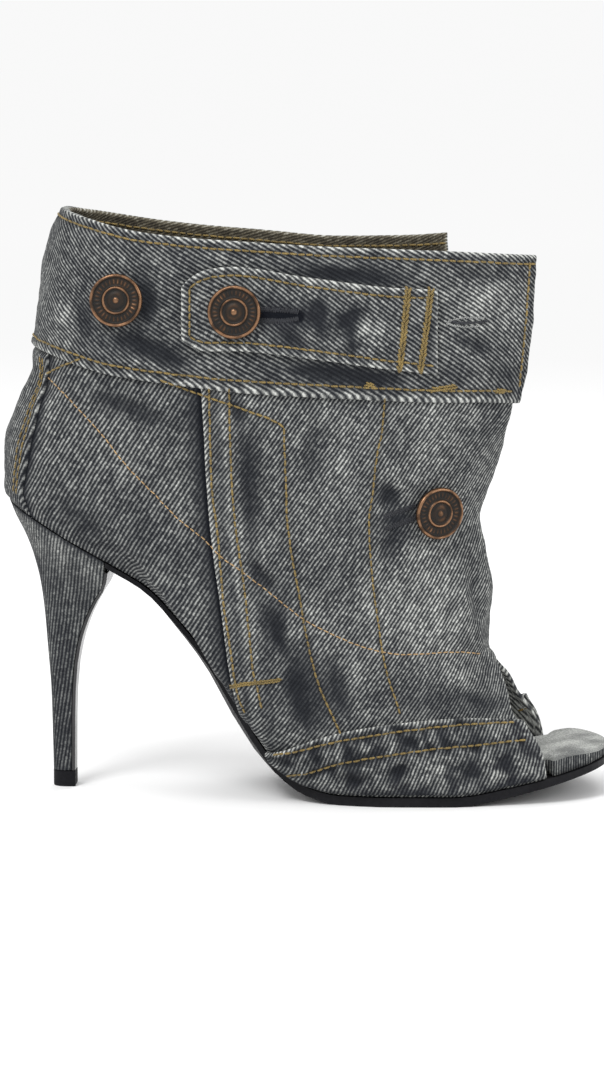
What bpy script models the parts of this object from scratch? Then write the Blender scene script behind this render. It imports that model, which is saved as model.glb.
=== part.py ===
"""Peep toe ankle boot with a stiletto heel, cut from washed denim like a jacket's cuff and waistband. A right shoe.

The frame: +X runs to the toe, +Z up, -Y to the outer side of the foot. The origin is on the floor, under the ball.
Every size here is in millimetres, and a mesh is scaled to metres as it is made.
A place on the shell has two coordinates. theta runs from -1, the nose on the outer side, over 0, the back seam, to
1, the nose on the inner side, and on past 1 for the underlap. level is 0 at the sole, 1 at the band's lower edge and
2 at the collar's top edge.
"""

import math

import bmesh
import bpy
import numpy as np
from mathutils import Matrix, Vector

MM = 0.001
OUTER, INNER = -1, 1

# Sole
BALL_TO_HEEL = 142.0
BALL_TO_TOE = 73.0
SEAT_RISE = 101.2
TOE_SPRING = 10.5
BALL_WIDTH = 76.0
OUTSOLE_THICK = 3.3
HEEL_ROUND = 24.0
OUTER_TOE_ROUND = 30.0
INNER_TOE_ROUND = 14.0
BREAST_REACH = 106.2
TREAD_REACH = 22.0
INSOLE_THICK = 6.6
INSOLE_MARGIN = 1.1
INSOLE_LEVEL = 0.08
THIN_REACH = 60.0

# Heel
TOP_PIECE_HEIGHT = 5.6
TIP_WIDTH = 9.2
BREAST_COVER = 1.1
BREAST_LAP = 1.0

# Upper
WALL = 1.8
SEAM_GAP = 0.3
FEATHER_INSET = 0.7
BACK_ROUND = 27.0
STAY_RISE = 1.2
FACING_RISE = 1.2
FACING_FADE = 26.0
VAMP_BAND_THICK = 1.5
VAMP_BAND_TOP = 30.4
VAMP_BAND_REACH = 47.5

# Waistband, tab and buttons
BAND_FOOT = 144.0
BAND_HEIGHT = 51.0
BAND_THICK = 1.5
BAND_LAP = 10.0
TAB_LENGTH = 88.0
TAB_WIDTH = 27.0
TAB_THICK = 1.7
TAB_CHAMFER = 9.0
BUTTON_DIAMETER = 18.6
BUTTON_HEIGHT = 2.6
SHANK_DIAMETER = 4.2
SHANK_STAND = 1.4
BUTTONHOLE_WIDTH = 1.5
TAB_BUTTONHOLE = 20.0
PLACKET_BUTTONHOLE = 18.0
CUT_REACH = 7.0

# How finely the shells are divided
SHELL_FRONT_STEPS = 12
SHELL_SIDE_STEPS = 8
SHELL_BACK_STEPS = 4
ROUND_STEPS = 18


class Table:
    """A short table with named columns. Its first column is the key, and the others are read between its rows by a
    cubic that never overshoots them."""

    def __init__(self, names, *rows):
        columns = np.array(rows, float).T
        self.key = columns[0]
        self.values = dict(zip(names.split()[1:], columns[1:]))

    def at(self, name, where):
        x, y = self.key, self.values[name]
        h, rise = np.diff(x), np.diff(y)
        slope = rise / h
        tangent = np.zeros(len(x))
        tangent[0], tangent[-1] = slope[0], slope[-1]
        same = slope[:-1] * slope[1:] > 0
        before, after = 2 * h[1:] + h[:-1], h[1:] + 2 * h[:-1]
        safe_low, safe_high = np.where(same, slope[:-1], 1), np.where(same, slope[1:], 1)
        tangent[1:-1] = np.where(same, (before + after) / (before / safe_low + after / safe_high), 0)
        where = np.clip(where, x[0], x[-1])
        i = np.clip(np.searchsorted(x, where, side="right") - 1, 0, len(x) - 2)
        t = (where - x[i]) / h[i]
        ease = t * t * (3 - 2 * t)
        bend = h[i] * t * (1 - t) * (tangent[i] * (1 - t) - tangent[i + 1] * t)
        return y[i] + ease * rise[i] + bend


# The sole seen from the side. reach is a share of BALL_TO_HEEL or BALL_TO_TOE, rise of SEAT_RISE or TOE_SPRING.
ARCH = Table(
    "reach rise thick belly",
    (0.000, 0.000, 1.00, 0.0),
    (0.155, 0.000, 1.00, 0.0),
    (0.235, 0.019, 0.90, 0.5),
    (0.296, 0.064, 0.75, 2.0),
    (0.353, 0.147, 0.62, 3.0),
    (0.414, 0.274, 0.55, 3.2),
    (0.490, 0.447, 0.50, 2.8),
    (0.556, 0.565, 0.48, 2.2),
    (0.648, 0.705, 0.48, 1.2),
    (0.736, 0.786, 0.48, 0.4),
    (0.831, 0.867, 0.48, 0.0),
    (0.923, 0.943, 0.48, 0.0),
    (1.000, 1.000, 0.48, 0.0),
)
FORE = Table(
    "reach rise thick",
    (0.000, 0.000, 1.00),
    (0.250, 0.000, 1.00),
    (0.490, 0.240, 0.95),
    (0.690, 0.520, 0.85),
    (1.000, 1.000, 0.70),
)

# The sole seen from below. station is a share of the sole's length from the heel, the half widths of BALL_WIDTH.
OUTLINE = Table(
    "station outer inner",
    (0.000, 0.322, 0.316),
    (0.093, 0.322, 0.316),
    (0.177, 0.276, 0.270),
    (0.265, 0.217, 0.204),
    (0.335, 0.217, 0.191),
    (0.405, 0.276, 0.237),
    (0.474, 0.375, 0.342),
    (0.544, 0.454, 0.428),
    (0.637, 0.500, 0.480),
    (0.730, 0.493, 0.493),
    (0.823, 0.447, 0.487),
    (0.893, 0.401, 0.460),
    (1.000, 0.340, 0.400),
)

# The heel. height is a share of the way from its tip to the seat, back is a share of BALL_TO_HEEL, front of the way
# from the tip's front to the breast, half of TIP_WIDTH.
HEEL = Table(
    "height back front half",
    (0.00, 0.895, 0.00, 0.50),
    (0.30, 0.900, 0.02, 0.54),
    (0.46, 0.908, 0.07, 0.64),
    (0.59, 0.915, 0.19, 0.85),
    (0.70, 0.925, 0.38, 1.18),
    (0.80, 0.942, 0.65, 1.62),
    (0.88, 0.962, 0.91, 2.05),
    (0.95, 0.986, 1.00, 2.40),
    (1.00, 1.000, 1.00, 2.62),
)
TIP_FRONT = 0.838

# The shell seen from the side: where its back and its nose lie at each level, as shares of BALL_TO_HEEL and
# BALL_TO_TOE.
BACK_LINE = Table(
    "level x",
    (0.00, 0.990),
    (0.13, 1.005),
    (0.25, 1.007),
    (0.37, 1.003),
    (0.53, 0.985),
    (0.68, 0.957),
    (0.84, 0.931),
    (1.00, 0.926),
    (1.50, 0.903),
    (1.80, 0.880),
    (2.00, 0.852),
)
NOSE_LINE = Table(
    "level x",
    (0.00, 1.000),
    (0.065, 0.900),
    (0.12, 0.780),
    (0.20, 0.590),
    (0.26, 0.475),
    (0.31, 0.412),
    (0.38, 0.420),
    (0.46, 0.424),
    (0.56, 0.396),
    (0.66, 0.364),
    (0.73, 0.390),
    (0.80, 0.440),
    (0.88, 0.482),
    (1.00, 0.575),
    (2.00, 0.710),
)

# The shell seen from above. half is a share of BALL_WIDTH, heel the share of it kept at the back, taper and blunt
# the powers that close the nose.
GIRTH = Table(
    "level half heel taper blunt",
    (0.00, 0.500, 0.68, 3.0, 2.0),
    (0.10, 0.520, 0.68, 3.0, 2.0),
    (0.20, 0.505, 0.71, 3.0, 2.0),
    (0.35, 0.470, 0.76, 2.8, 1.9),
    (0.50, 0.445, 0.80, 2.3, 1.6),
    (0.70, 0.430, 0.85, 2.0, 1.6),
    (1.00, 0.430, 0.88, 1.6, 2.1),
    (2.00, 0.415, 0.88, 1.6, 2.2),
)
TAPER_START = 0.44
HEEL_EASE = 0.55
FOOT_LEVEL = 0.40
FOOT_POWER = 2.2

# Where the front edges lie at each level, as shares of the way from the back to the nose. Past 1 the inner edge
# runs on under the outer one.
EDGES = Table(
    "level outer inner",
    (0.000, 0.893, 0.897),
    (0.065, 0.914, 0.918),
    (0.120, 0.928, 0.938),
    (0.150, 0.934, 0.949),
    (0.200, 0.966, 0.970),
    (0.250, 0.988, 0.988),
    (0.310, 1.000, 1.012),
    (0.380, 1.000, 1.080),
    (0.500, 1.000, 1.200),
    (0.660, 1.000, 1.220),
    (0.740, 1.000, 1.140),
    (0.800, 1.000, 1.050),
    (0.860, 1.000, 0.965),
    (0.930, 0.988, 0.895),
    (1.000, 0.976, 0.845),
    (2.000, 0.955, 0.780),
)
BAND_EDGES = Table(
    "level outer inner",
    (1.00, 0.984, 0.858),
    (2.00, 0.963, 0.782),
)

# Feature lines on the shell, as shares of BALL_TO_HEEL behind the ball.
FACING_LINE = Table(
    "level x",
    (0.00, 0.395),
    (0.26, 0.429),
    (0.42, 0.452),
    (0.59, 0.477),
    (0.75, 0.489),
    (1.00, 0.502),
)
STAY_LINE = Table(
    "level x",
    (0.00, 0.935),
    (0.15, 0.951),
    (0.35, 0.940),
    (0.50, 0.927),
    (0.68, 0.908),
    (0.85, 0.891),
    (1.00, 0.885),
)

# The band's lower edge and the collar's top edge. station is a share of the way from back to nose, the rest are
# shares of BAND_HEIGHT above BAND_FOOT. The collar stands higher on the inner side.
BAND_LINE = Table(
    "station foot outer inner",
    (0.00, 0.32, 1.26, 1.26),
    (0.06, 0.26, 1.20, 1.22),
    (0.16, 0.16, 1.12, 1.16),
    (0.26, 0.11, 1.08, 1.12),
    (0.40, 0.06, 1.05, 1.08),
    (0.55, 0.03, 1.02, 1.04),
    (0.70, 0.00, 1.00, 1.05),
    (0.82, -0.02, 0.98, 1.08),
    (0.91, -0.03, 0.96, 1.09),
    (1.00, -0.05, 0.94, 1.09),
)

# The vamp band's top edge seen from the side. reach is a share of the way from its back end to its front end, and
# height a share of VAMP_BAND_TOP above the floor.
VAMP_BAND_LINE = Table(
    "reach height",
    (0.00, 0.60),
    (0.10, 0.70),
    (0.22, 0.82),
    (0.37, 0.91),
    (0.60, 0.98),
    (0.77, 1.00),
    (0.90, 0.98),
    (1.00, 0.94),
)

# The tab, from its buttoned end to its sewn end. along is a share of TAB_LENGTH, middle a height as a share of
# BAND_HEIGHT above BAND_FOOT, width a share of TAB_WIDTH.
TAB_MIDDLE_REACH = 33.5
TAB_LINE = Table(
    "along middle width lift",
    (0.00, 0.57, 1.00, 0.9),
    (0.20, 0.60, 1.08, 0.5),
    (0.50, 0.54, 1.04, 0.2),
    (0.80, 0.47, 1.05, 0.0),
    (1.00, 0.44, 1.10, 0.0),
)

# The buttons' places, seen from the outer side: reach in front of the ball, and height above the floor.
BAND_BUTTON = (-100.3, 177.4)
TAB_BUTTON = (-58.8, 173.6)
PLACKET_BUTTON = (10.6, 102.0)

# A button's turned profile: radius as a share of its diameter, height as a share of BUTTON_HEIGHT.
BUTTON_PROFILE = (
    (0.38, 0.00),
    (0.49, 0.22),
    (0.50, 0.55),
    (0.47, 0.92),
    (0.42, 0.78),
    (0.27, 0.72),
    (0.24, 1.00),
    (0.20, 0.95),
    (0.17, 0.60),
    (0.07, 0.62),
    (0.04, 0.86),
)

# What the pieces are made of: base colour, roughness and metallic value.
DENIM = ((0.115, 0.118, 0.125, 1.0), 0.92, 0.0)
SOCK = ((0.19, 0.19, 0.19, 1.0), 0.92, 0.0)
BLACK_LEATHER = ((0.012, 0.012, 0.014, 1.0), 0.35, 0.0)
COPPER = ((0.16, 0.075, 0.042, 1.0), 0.42, 0.9)


def smooth(t):
    t = np.clip(t, 0.0, 1.0)
    return t * t * (3 - 2 * t)


def rounded(t, power=2.0):
    """Rises from 0 to 1 as the quarter of an ellipse does, over t from 0 to 1."""
    return (1 - (1 - np.clip(t, 0.0, 1.0)) ** power) ** (1 / power)


def feather_z(x):
    """The height of the surface that upper and insole stand on, above the floor."""
    back = SEAT_RISE * ARCH.at("rise", -x / BALL_TO_HEEL)
    front = TOE_SPRING * FORE.at("rise", x / BALL_TO_TOE)
    return OUTSOLE_THICK + np.where(x < 0, back, front)


def steepness(x):
    """How much longer a plumb cut through the sole is than a square one."""
    slope = feather_z(x + 0.5) - feather_z(x - 0.5)
    return np.sqrt(1 + slope**2)


def sole_half(x, side):
    """Half the sole's width at x, on one side."""
    length = BALL_TO_HEEL + BALL_TO_TOE
    station = (x + BALL_TO_HEEL) / length
    width = BALL_WIDTH * OUTLINE.at("outer" if side == OUTER else "inner", station)
    heel = rounded((x + BALL_TO_HEEL) / HEEL_ROUND)
    toe = OUTER_TOE_ROUND if side == OUTER else INNER_TOE_ROUND
    return width * heel * rounded((BALL_TO_TOE - x) / toe, 2.3)


def shell_span(level):
    """The x of the shell's back and of its nose."""
    return -BALL_TO_HEEL * BACK_LINE.at("x", level), BALL_TO_TOE * NOSE_LINE.at("x", level)


def shell_x(station, level):
    back, nose = shell_span(level)
    return back + (nose - back) * station


def shell_z(station, level, side=OUTER):
    foot_x = shell_x(station, np.zeros_like(level))
    foot = feather_z(foot_x) + (SEAM_GAP * 2 - SEAM_GAP / steepness(foot_x)) * steepness(foot_x)
    line = BAND_FOOT + BAND_HEIGHT * BAND_LINE.at("foot", station)
    top = np.where(side == OUTER, BAND_LINE.at("outer", station), BAND_LINE.at("inner", station))
    top = BAND_FOOT + BAND_HEIGHT * top
    below = foot + (line - foot) * level
    return np.where(level < 1, below, line + (top - line) * (level - 1))


def shell_half(station, level, side):
    """Half the shell's width: the sole's own outline at its foot, easing into the shaft's plainer one."""
    back, nose = shell_span(level)
    half = BALL_WIDTH * GIRTH.at("half", level)
    heel = GIRTH.at("heel", level)
    shape = heel + (1 - heel) * smooth(station / HEEL_EASE)
    start = rounded(station * (nose - back) / BACK_ROUND)
    ahead = np.clip((station - TAPER_START) / (1 - TAPER_START), 0, 1)
    close = (1 - ahead ** GIRTH.at("taper", level)) ** (1 / GIRTH.at("blunt", level))
    shaft = half * shape * start * close
    foot_x = shell_x(station, np.zeros_like(level))
    foot = np.where(side == OUTER, sole_half(foot_x, OUTER), sole_half(foot_x, INNER))
    foot = np.maximum(foot - FEATHER_INSET * rounded(station * 20), 0)
    ease = 1 - (1 - np.clip(level / FOOT_LEVEL, 0, 1)) ** FOOT_POWER
    return foot + (shaft - foot) * ease


def station_of(theta):
    return (1 - np.cos(np.pi * theta)) / 2


def theta_of(station):
    """The inverse of station_of, from 0 at the back to 1 at the nose."""
    return np.arccos(np.clip(1 - 2 * station, -1, 1)) / np.pi


def bare_shell(theta, level):
    side = np.where(theta < 0, OUTER, INNER)
    past = np.abs(theta) > 1
    side = np.where(past, -side, side)
    station = station_of(np.abs(theta))
    y = side * shell_half(station, level, side)
    return np.stack([shell_x(station, level), y, shell_z(station, level, side)], -1)


def shell_normal(theta, level):
    e = 0.004
    across = bare_shell(theta + e, level) - bare_shell(theta - e, level)
    up = bare_shell(theta, level + e) - bare_shell(theta, level - e)
    normal = np.cross(up, across)
    normal[..., 2] *= smooth((level - 0.005) / 0.05)
    return normal / np.linalg.norm(normal, axis=-1, keepdims=True)


def shell(theta, level, lift=0.0):
    """A point on the shell's outer face, raised by lift. Past the inner nose the face sinks by a wall and a gap, so
    that the underlap passes inside the outer front."""
    theta, level = np.broadcast_arrays(np.asarray(theta, float), np.asarray(level, float))
    lapped = smooth((level - 0.2) / 0.1) * (1 - smooth((level - 0.9) / 0.1))
    sink = (WALL + SEAM_GAP) * smooth((theta - 0.8) / 0.17) * lapped
    return bare_shell(theta, level) + shell_normal(theta, level) * (lift - sink)[..., None]


def locate(x, z, side=OUTER):
    """theta and level of the shell's point that shows at x and z from the side."""
    x, z = np.asarray(x, float), np.asarray(z, float)
    level = np.full(np.broadcast(x, z).shape, 0.5)
    for _ in range(30):
        back, nose = shell_span(level)
        station = np.clip((x - back) / (nose - back), 0.0, 1.0)
        foot = shell_z(station, np.zeros_like(level))
        line = shell_z(station, np.ones_like(level))
        top = shell_z(station, np.full_like(level, 2.0))
        found = np.where(z < line, (z - foot) / (line - foot), 1 + (z - line) / (top - line))
        level = (level + np.clip(found, 0.0, 2.0)) / 2
    return side * theta_of(station), level


def material(name, finish):
    colour, roughness, metallic = finish
    made = bpy.data.materials.new(name)
    made.use_nodes = True
    shader = made.node_tree.nodes["Principled BSDF"]
    shader.inputs["Base Color"].default_value = colour
    shader.inputs["Roughness"].default_value = roughness
    shader.inputs["Metallic"].default_value = metallic
    return made


def add_object(name, points, faces, finish):
    """One closed solid, with a material of its own, from points in millimetres and the faces between them."""
    mesh = bpy.data.meshes.new(name)
    mesh.from_pydata([tuple(p * MM) for p in points], [], faces)
    work = bmesh.new()
    work.from_mesh(mesh)
    bmesh.ops.recalc_face_normals(work, faces=work.faces[:])
    bmesh.ops.triangulate(work, faces=work.faces[:])
    work.to_mesh(mesh)
    work.free()
    mesh.shade_smooth()
    mesh.set_sharp_from_angle(angle=math.radians(40))
    mesh.materials.append(material(name, finish))
    made = bpy.data.objects.new(name, mesh)
    bpy.context.scene.collection.objects.link(made)
    return made


def closed_slab(name, top, bottom, finish):
    """A solid between two grids of points of the same shape, closed round their rims."""
    rows, columns = top.shape[:2]
    count = rows * columns
    points = np.concatenate([top.reshape(-1, 3), bottom.reshape(-1, 3)])
    faces = []
    for i in range(rows - 1):
        for j in range(columns - 1):
            a, b = i * columns + j, (i + 1) * columns + j
            faces.append((a, b, b + 1, a + 1))
            faces.append((count + a, count + a + 1, count + b + 1, count + b))
    rim = [(0, j) for j in range(columns)]
    rim += [(i, columns - 1) for i in range(1, rows)]
    rim += [(rows - 1, j) for j in range(columns - 2, -1, -1)]
    rim += [(i, 0) for i in range(rows - 2, 0, -1)]
    rim = [i * columns + j for i, j in rim]
    for a, b in zip(rim, rim[1:] + rim[:1]):
        faces.append((a, b, count + b, count + a))
    return add_object(name, points, faces, finish)


def closed_tube(name, rings, finish):
    """A solid from closed rings of points, each ring joined to the next and the two end rings capped."""
    rows, columns = rings.shape[:2]
    faces = []
    for i in range(rows - 1):
        for j in range(columns):
            k = (j + 1) % columns
            faces.append((i * columns + j, i * columns + k, (i + 1) * columns + k, (i + 1) * columns + j))
    faces.append(tuple(range(columns)))
    faces.append(tuple(range((rows - 1) * columns, rows * columns))[::-1])
    return add_object(name, rings.reshape(-1, 3), faces, finish)


def spread(start, end, steps):
    """Columns from start to end, both of which may hold a value for each row."""
    share = np.linspace(0, 1, steps + 1)
    return start[:, None] * (1 - share) + end[:, None] * share


def line_theta(table, level):
    """theta of a feature line at each level, on the inner side."""
    back, nose = shell_span(level)
    x = -BALL_TO_HEEL * table.at("x", level)
    return theta_of((x - back) / (nose - back))


def shell_columns(level):
    """theta and raised height of each column of the upper, with a pair of columns at each raised edge."""
    hair = np.full_like(level, 0.0035)
    facing, stay = line_theta(FACING_LINE, level), line_theta(STAY_LINE, level)
    outer, inner = theta_of(EDGES.at("outer", level)), EDGES.at("inner", level)
    inner = np.where(inner > 1, 2 - theta_of(2 - inner), theta_of(inner))
    knee = np.minimum(inner - 0.02, 1.0)
    back = spread(-stay, stay, 2 * SHELL_BACK_STEPS)
    parts = [
        spread(-outer, -facing, SHELL_FRONT_STEPS),
        spread(-facing + hair, -stay - hair, SHELL_SIDE_STEPS),
        back,
        spread(stay + hair, facing - hair, SHELL_SIDE_STEPS),
        np.concatenate([spread(facing, knee, SHELL_FRONT_STEPS), spread(knee, inner, 4)[:, 1:]], 1),
    ]
    theta = np.concatenate(parts, 1)
    x = shell_x(station_of(np.abs(theta)), level[:, None])
    ahead = x + BALL_TO_HEEL * FACING_LINE.at("x", level)[:, None]
    shown = smooth((0.99 - level) / 0.04)[:, None]
    front = FACING_RISE * (1 - smooth(ahead / FACING_FADE)) * smooth((level[:, None] - 0.03) / 0.06)
    kinds = np.concatenate([np.full(p.shape[1], k) for k, p in enumerate(parts)])
    behind = STAY_RISE * smooth(level / 0.06)[:, None]
    rise = np.where(np.isin(kinds, (0, 4)), front, np.where(kinds == 2, behind, 0.0)) * shown
    return theta, rise


def make_upper(finish):
    """The hollow upper: one wall from the sole to under the waistband, open at the collar, down the front and at
    the toe."""
    lap = 1 + BAND_LAP / BAND_HEIGHT
    low = [0.0, 0.03, 0.07, 0.11, 0.15, 0.20, 0.25, 0.30, 0.36, 0.43, 0.50, 0.57, 0.65, 0.73]
    level = np.array(low + [0.80, 0.86, 0.92, 0.95, 0.99, lap])
    theta, rise = shell_columns(level)
    over = shell(theta, level[:, None], rise)
    under = shell(theta, level[:, None], -WALL)
    return closed_slab("upper", over, under, finish)


def make_collar_band(finish):
    """The waistband: a strip round the top of the shaft, thicker above the lap that covers the shaft's top edge."""
    lap = 1 + (BAND_LAP + SEAM_GAP) / BAND_HEIGHT
    out, low = SEAM_GAP + BAND_THICK, SEAM_GAP
    profile = [(1.0, low), (1.0, out * 0.75), (1.02, out), (1.25, out), (1.5, out), (1.75, out), (1.97, out)]
    profile += [(2.0, out - 0.8), (2.0, 0.8 - WALL), (1.97, -WALL), (1.7, -WALL), (1.45, -WALL), (lap, -WALL)]
    profile += [(lap, low)]
    level = np.array([p[0] for p in profile])
    lift = np.array([p[1] for p in profile])
    outer, inner = (theta_of(BAND_EDGES.at(side, level)) for side in ("outer", "inner"))
    zero = np.zeros_like(level)
    theta = np.concatenate([spread(-outer, zero, 22), spread(zero, inner, 18)[:, 1:]], 1)
    rings = shell(theta, level[:, None], lift[:, None])
    return closed_tube("collar_band", np.swapaxes(rings, 0, 1), finish)


def make_vamp_band(side, finish):
    """The band round the forefoot on one side, like the hem of a jacket, from the arch to the toe opening."""
    column = "outer" if side == OUTER else "inner"
    share = np.linspace(0, 1, 23)
    height = VAMP_BAND_TOP * VAMP_BAND_LINE.at("height", share)
    top = np.zeros_like(share)
    for _ in range(12):
        x = -VAMP_BAND_REACH + (shell_x(EDGES.at(column, top), top) + VAMP_BAND_REACH) * share
        top = locate(x, height)[1]
    level = np.maximum(top, 0.025)[:, None] * np.linspace(0.04, 1, 6)
    x = -VAMP_BAND_REACH + (shell_x(EDGES.at(column, level), level) + VAMP_BAND_REACH) * share[:, None]
    back, nose = shell_span(level)
    theta = side * theta_of((x - back) / (nose - back))
    foot = (SEAM_GAP * (3 - smooth(share / 0.15)))[:, None]
    face = shell(theta, level, foot + VAMP_BAND_THICK)
    return closed_slab("vamp_band_" + column, face, shell(theta, level, foot), finish)


def cavity_half(xs, side):
    """Half the room between the upper's walls at x, from the sole to the footbed's top, on one side."""
    theta = side * np.linspace(0.0, 1.0, 80)
    halves = []
    for level in np.linspace(0.0, INSOLE_LEVEL, 5):
        wall = shell(theta, level, -WALL - SEAM_GAP * 1.5)
        halves.append(np.interp(xs, wall[:, 0], np.abs(wall[:, 1])))
    return np.min(halves, axis=0)


def sole_grid(xs, halves, lift, across=7):
    """Points over the sole: a row at each x between the two half widths, lifted square to it."""
    share = np.linspace(0, 1, across)
    outer, inner = halves
    y = -outer[:, None] * (1 - share) + inner[:, None] * share
    z = feather_z(xs) + lift * steepness(xs)
    middle = 1 - (2 * share - 1) ** 2
    return np.stack(np.broadcast_arrays(xs[:, None], y, z[:, None]), -1), middle


def make_outsole(finish):
    """The outsole from the heel's breast to the toe: flat at the tread, thin and bellied in the waist."""
    waist = np.linspace(-BREAST_REACH, -TREAD_REACH, 22)
    tread = np.linspace(-TREAD_REACH, BALL_TO_TOE * 0.25, 7)[1:]
    toe = BALL_TO_TOE * (0.25 + 0.75 * np.sin(np.linspace(0, math.pi / 2, 17))[1:])
    xs = np.concatenate([waist, tread, toe])
    xs[-1] -= 0.15
    thick = OUTSOLE_THICK * np.where(
        xs < 0, ARCH.at("thick", -xs / BALL_TO_HEEL), FORE.at("thick", xs / BALL_TO_TOE)
    )
    belly = np.where(xs < 0, ARCH.at("belly", -xs / BALL_TO_HEEL), 0.0)
    halves = (sole_half(xs, OUTER), sole_half(xs, INNER))
    top, _ = sole_grid(xs, halves, np.zeros_like(xs))
    bottom, middle = sole_grid(xs, halves, -thick)
    bottom[..., 2] -= (belly * steepness(xs))[:, None] * middle
    flat = (xs > -TREAD_REACH - 0.1) & (xs < BALL_TO_TOE * 0.25 + 0.1)
    bottom[flat, :, 2] = 0.0
    return closed_slab("outsole", top, bottom, finish)


def make_insole(finish):
    """The covered footbed: inside the upper's wall at the back, and out to the sole's edge in the toe opening."""
    heel_end = shell_x(0.0, 0.0) + WALL + 2 * SEAM_GAP
    toe_end = BALL_TO_TOE - INSOLE_MARGIN
    back = heel_end + (0.0 - heel_end) * np.linspace(0, 1, 20) ** 1.4
    front = toe_end * np.sin(np.linspace(0, math.pi / 2, 18))[1:]
    xs = np.concatenate([back, front])
    halves = []
    for side, column in ((OUTER, "outer"), (INNER, "inner")):
        level = np.linspace(0.0, INSOLE_LEVEL, 5)
        edge = np.max(shell_x(EDGES.at(column, level), level))
        opening = smooth((xs - edge - SEAM_GAP) / 2.5)
        shown = sole_half(xs + INSOLE_MARGIN * 0.8, side) - INSOLE_MARGIN
        halves.append(np.maximum(cavity_half(xs, side) * (1 - opening) + shown * opening, 0.4))
    thin = 0.45 + 0.55 * smooth((xs + THIN_REACH) / (THIN_REACH - TREAD_REACH / 2))
    fall = 1 - 0.45 * smooth((xs - BALL_TO_TOE * 0.78) / (BALL_TO_TOE * 0.22))
    thick = INSOLE_THICK * thin * fall
    bottom, middle = sole_grid(xs, halves, np.full_like(xs, SEAM_GAP))
    top, _ = sole_grid(xs, halves, SEAM_GAP + thick)
    edge = np.minimum(middle / 0.44, 1.0)
    top[..., 2] -= 1.5 * (1 - edge)
    return closed_slab("insole", top, bottom, finish)


def heel_front(height):
    """The x of the heel's front at a share of its height, which runs from its tip's front to the breast."""
    tip, breast = -BALL_TO_HEEL * TIP_FRONT, BREAST_LAP - BREAST_REACH
    return tip + (breast - tip) * HEEL.at("front", height)


def heel_rings(heights, cover=0.0, columns=13):
    """The heel's sections at shares of its height: round at the back and cut straight across at the breast."""
    share = np.sin(np.linspace(-math.pi / 2, math.pi / 2, columns)) / 2 + 0.5
    share = np.concatenate([share[::-1], share[1:]])
    side = np.where(np.arange(len(share)) < columns, OUTER, INNER)
    rings = []
    for height in heights:
        back, front = -BALL_TO_HEEL * HEEL.at("back", height), heel_front(height)
        x = back + (front - cover - back) * share
        seat_x = -BALL_TO_HEEL + (BALL_TO_HEEL - BREAST_REACH) * share
        seat = feather_z(seat_x)
        base = TOP_PIECE_HEIGHT + SEAM_GAP
        stem = TIP_WIDTH * HEEL.at("half", height) * rounded(share / 0.7) * (1 - 0.12 * share)
        ledge = np.where(side == OUTER, sole_half(seat_x, OUTER), sole_half(seat_x, INNER))
        flare = smooth((height - 0.8) / 0.2)
        half = stem * (1 - flare) + ledge * flare
        rings.append(np.stack([x, side * half, base + (seat - base) * height], -1))
    return np.array(rings)


def make_heel(finish):
    heights = np.concatenate([np.linspace(0, 0.5, 5), np.linspace(0.58, 1.0, 9)])
    return closed_tube("heel", heel_rings(heights, BREAST_COVER + SEAM_GAP), finish)


def make_breast_cover(finish):
    """The black strip down the heel's front, which the outsole's own leather runs into."""
    heights = np.concatenate([np.linspace(0, 0.5, 5), np.linspace(0.58, 0.95, 9)])
    x = heel_front(heights)
    base = TOP_PIECE_HEIGHT + SEAM_GAP
    z = base + (feather_z(np.float64(-BREAST_REACH)) - base) * heights
    stem = TIP_WIDTH * HEEL.at("half", heights) * 0.88
    flare = smooth((heights - 0.8) / 0.2)
    half = stem * (1 - flare) + sole_half(np.full_like(x, -BREAST_REACH), OUTER) * flare
    share = np.linspace(-1, 1, 5)
    face = np.stack(np.broadcast_arrays(x[:, None], half[:, None] * share, z[:, None]), -1)
    behind = face - np.array([BREAST_COVER, 0, 0])
    return closed_slab("breast_cover", face, behind, finish)


def make_top_piece(finish):
    """The heel's hard tip, which stands on the floor."""
    ring = heel_rings([0.0])[0]
    centre = ring.mean(0)
    rings = []
    for z, grow in ((0.0, 0.96), (0.4, 1.02), (TOP_PIECE_HEIGHT, 1.02)):
        level = centre + (ring - centre) * grow
        level[:, 2] = z
        rings.append(level)
    return closed_tube("top_piece", np.array(rings), finish)


def side_patch(xs, zs, lift):
    theta, level = locate(xs, zs)
    return shell(theta, level, lift)


def make_tab(finish):
    """The side tab, sewn down at its front end and buttoned at its chamfered back end."""
    start, lift_off = TAB_CHAMFER / TAB_LENGTH, SEAM_GAP * 2 + BAND_THICK
    along = np.concatenate([[0.0, start * 0.5], np.linspace(start, 1.0, 19)])
    corner = np.minimum(1.0, 0.62 + 0.38 * rounded(along / start, 1.6))
    middle = BAND_FOOT + BAND_HEIGHT * TAB_LINE.at("middle", along)
    half = TAB_WIDTH / 2 * TAB_LINE.at("width", along) * corner
    x = -TAB_MIDDLE_REACH + TAB_LENGTH * (along - 0.5)
    up = np.array([-1.0, -0.93, -0.5, 0.0, 0.5, 0.93, 1.0])
    xs, zs = np.broadcast_arrays(x[:, None], middle[:, None] + half[:, None] * up)
    foot = lift_off + TAB_LINE.at("lift", along)[:, None] + 0 * zs
    rim = np.where(np.abs(up) > 0.99, 0.55, 1.0)
    face = side_patch(xs, zs, foot + TAB_THICK * rim)
    under = side_patch(xs, zs, foot)
    return closed_slab("tab", face, under, finish)


def seat_frame(place, lift):
    """A matrix at a place on the outer side, with Z along the shell's normal and X as level as it can be."""
    theta, level = locate(*place)
    at = shell(theta, level, lift)
    normal = Vector(shell_normal(theta, level))
    level_way = Vector((1, 0, 0)) - normal * normal.x
    level_way.normalize()
    turn = Matrix((level_way, normal.cross(level_way), normal)).transposed().to_4x4()
    return Matrix.Translation(Vector(at)) @ turn


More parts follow.
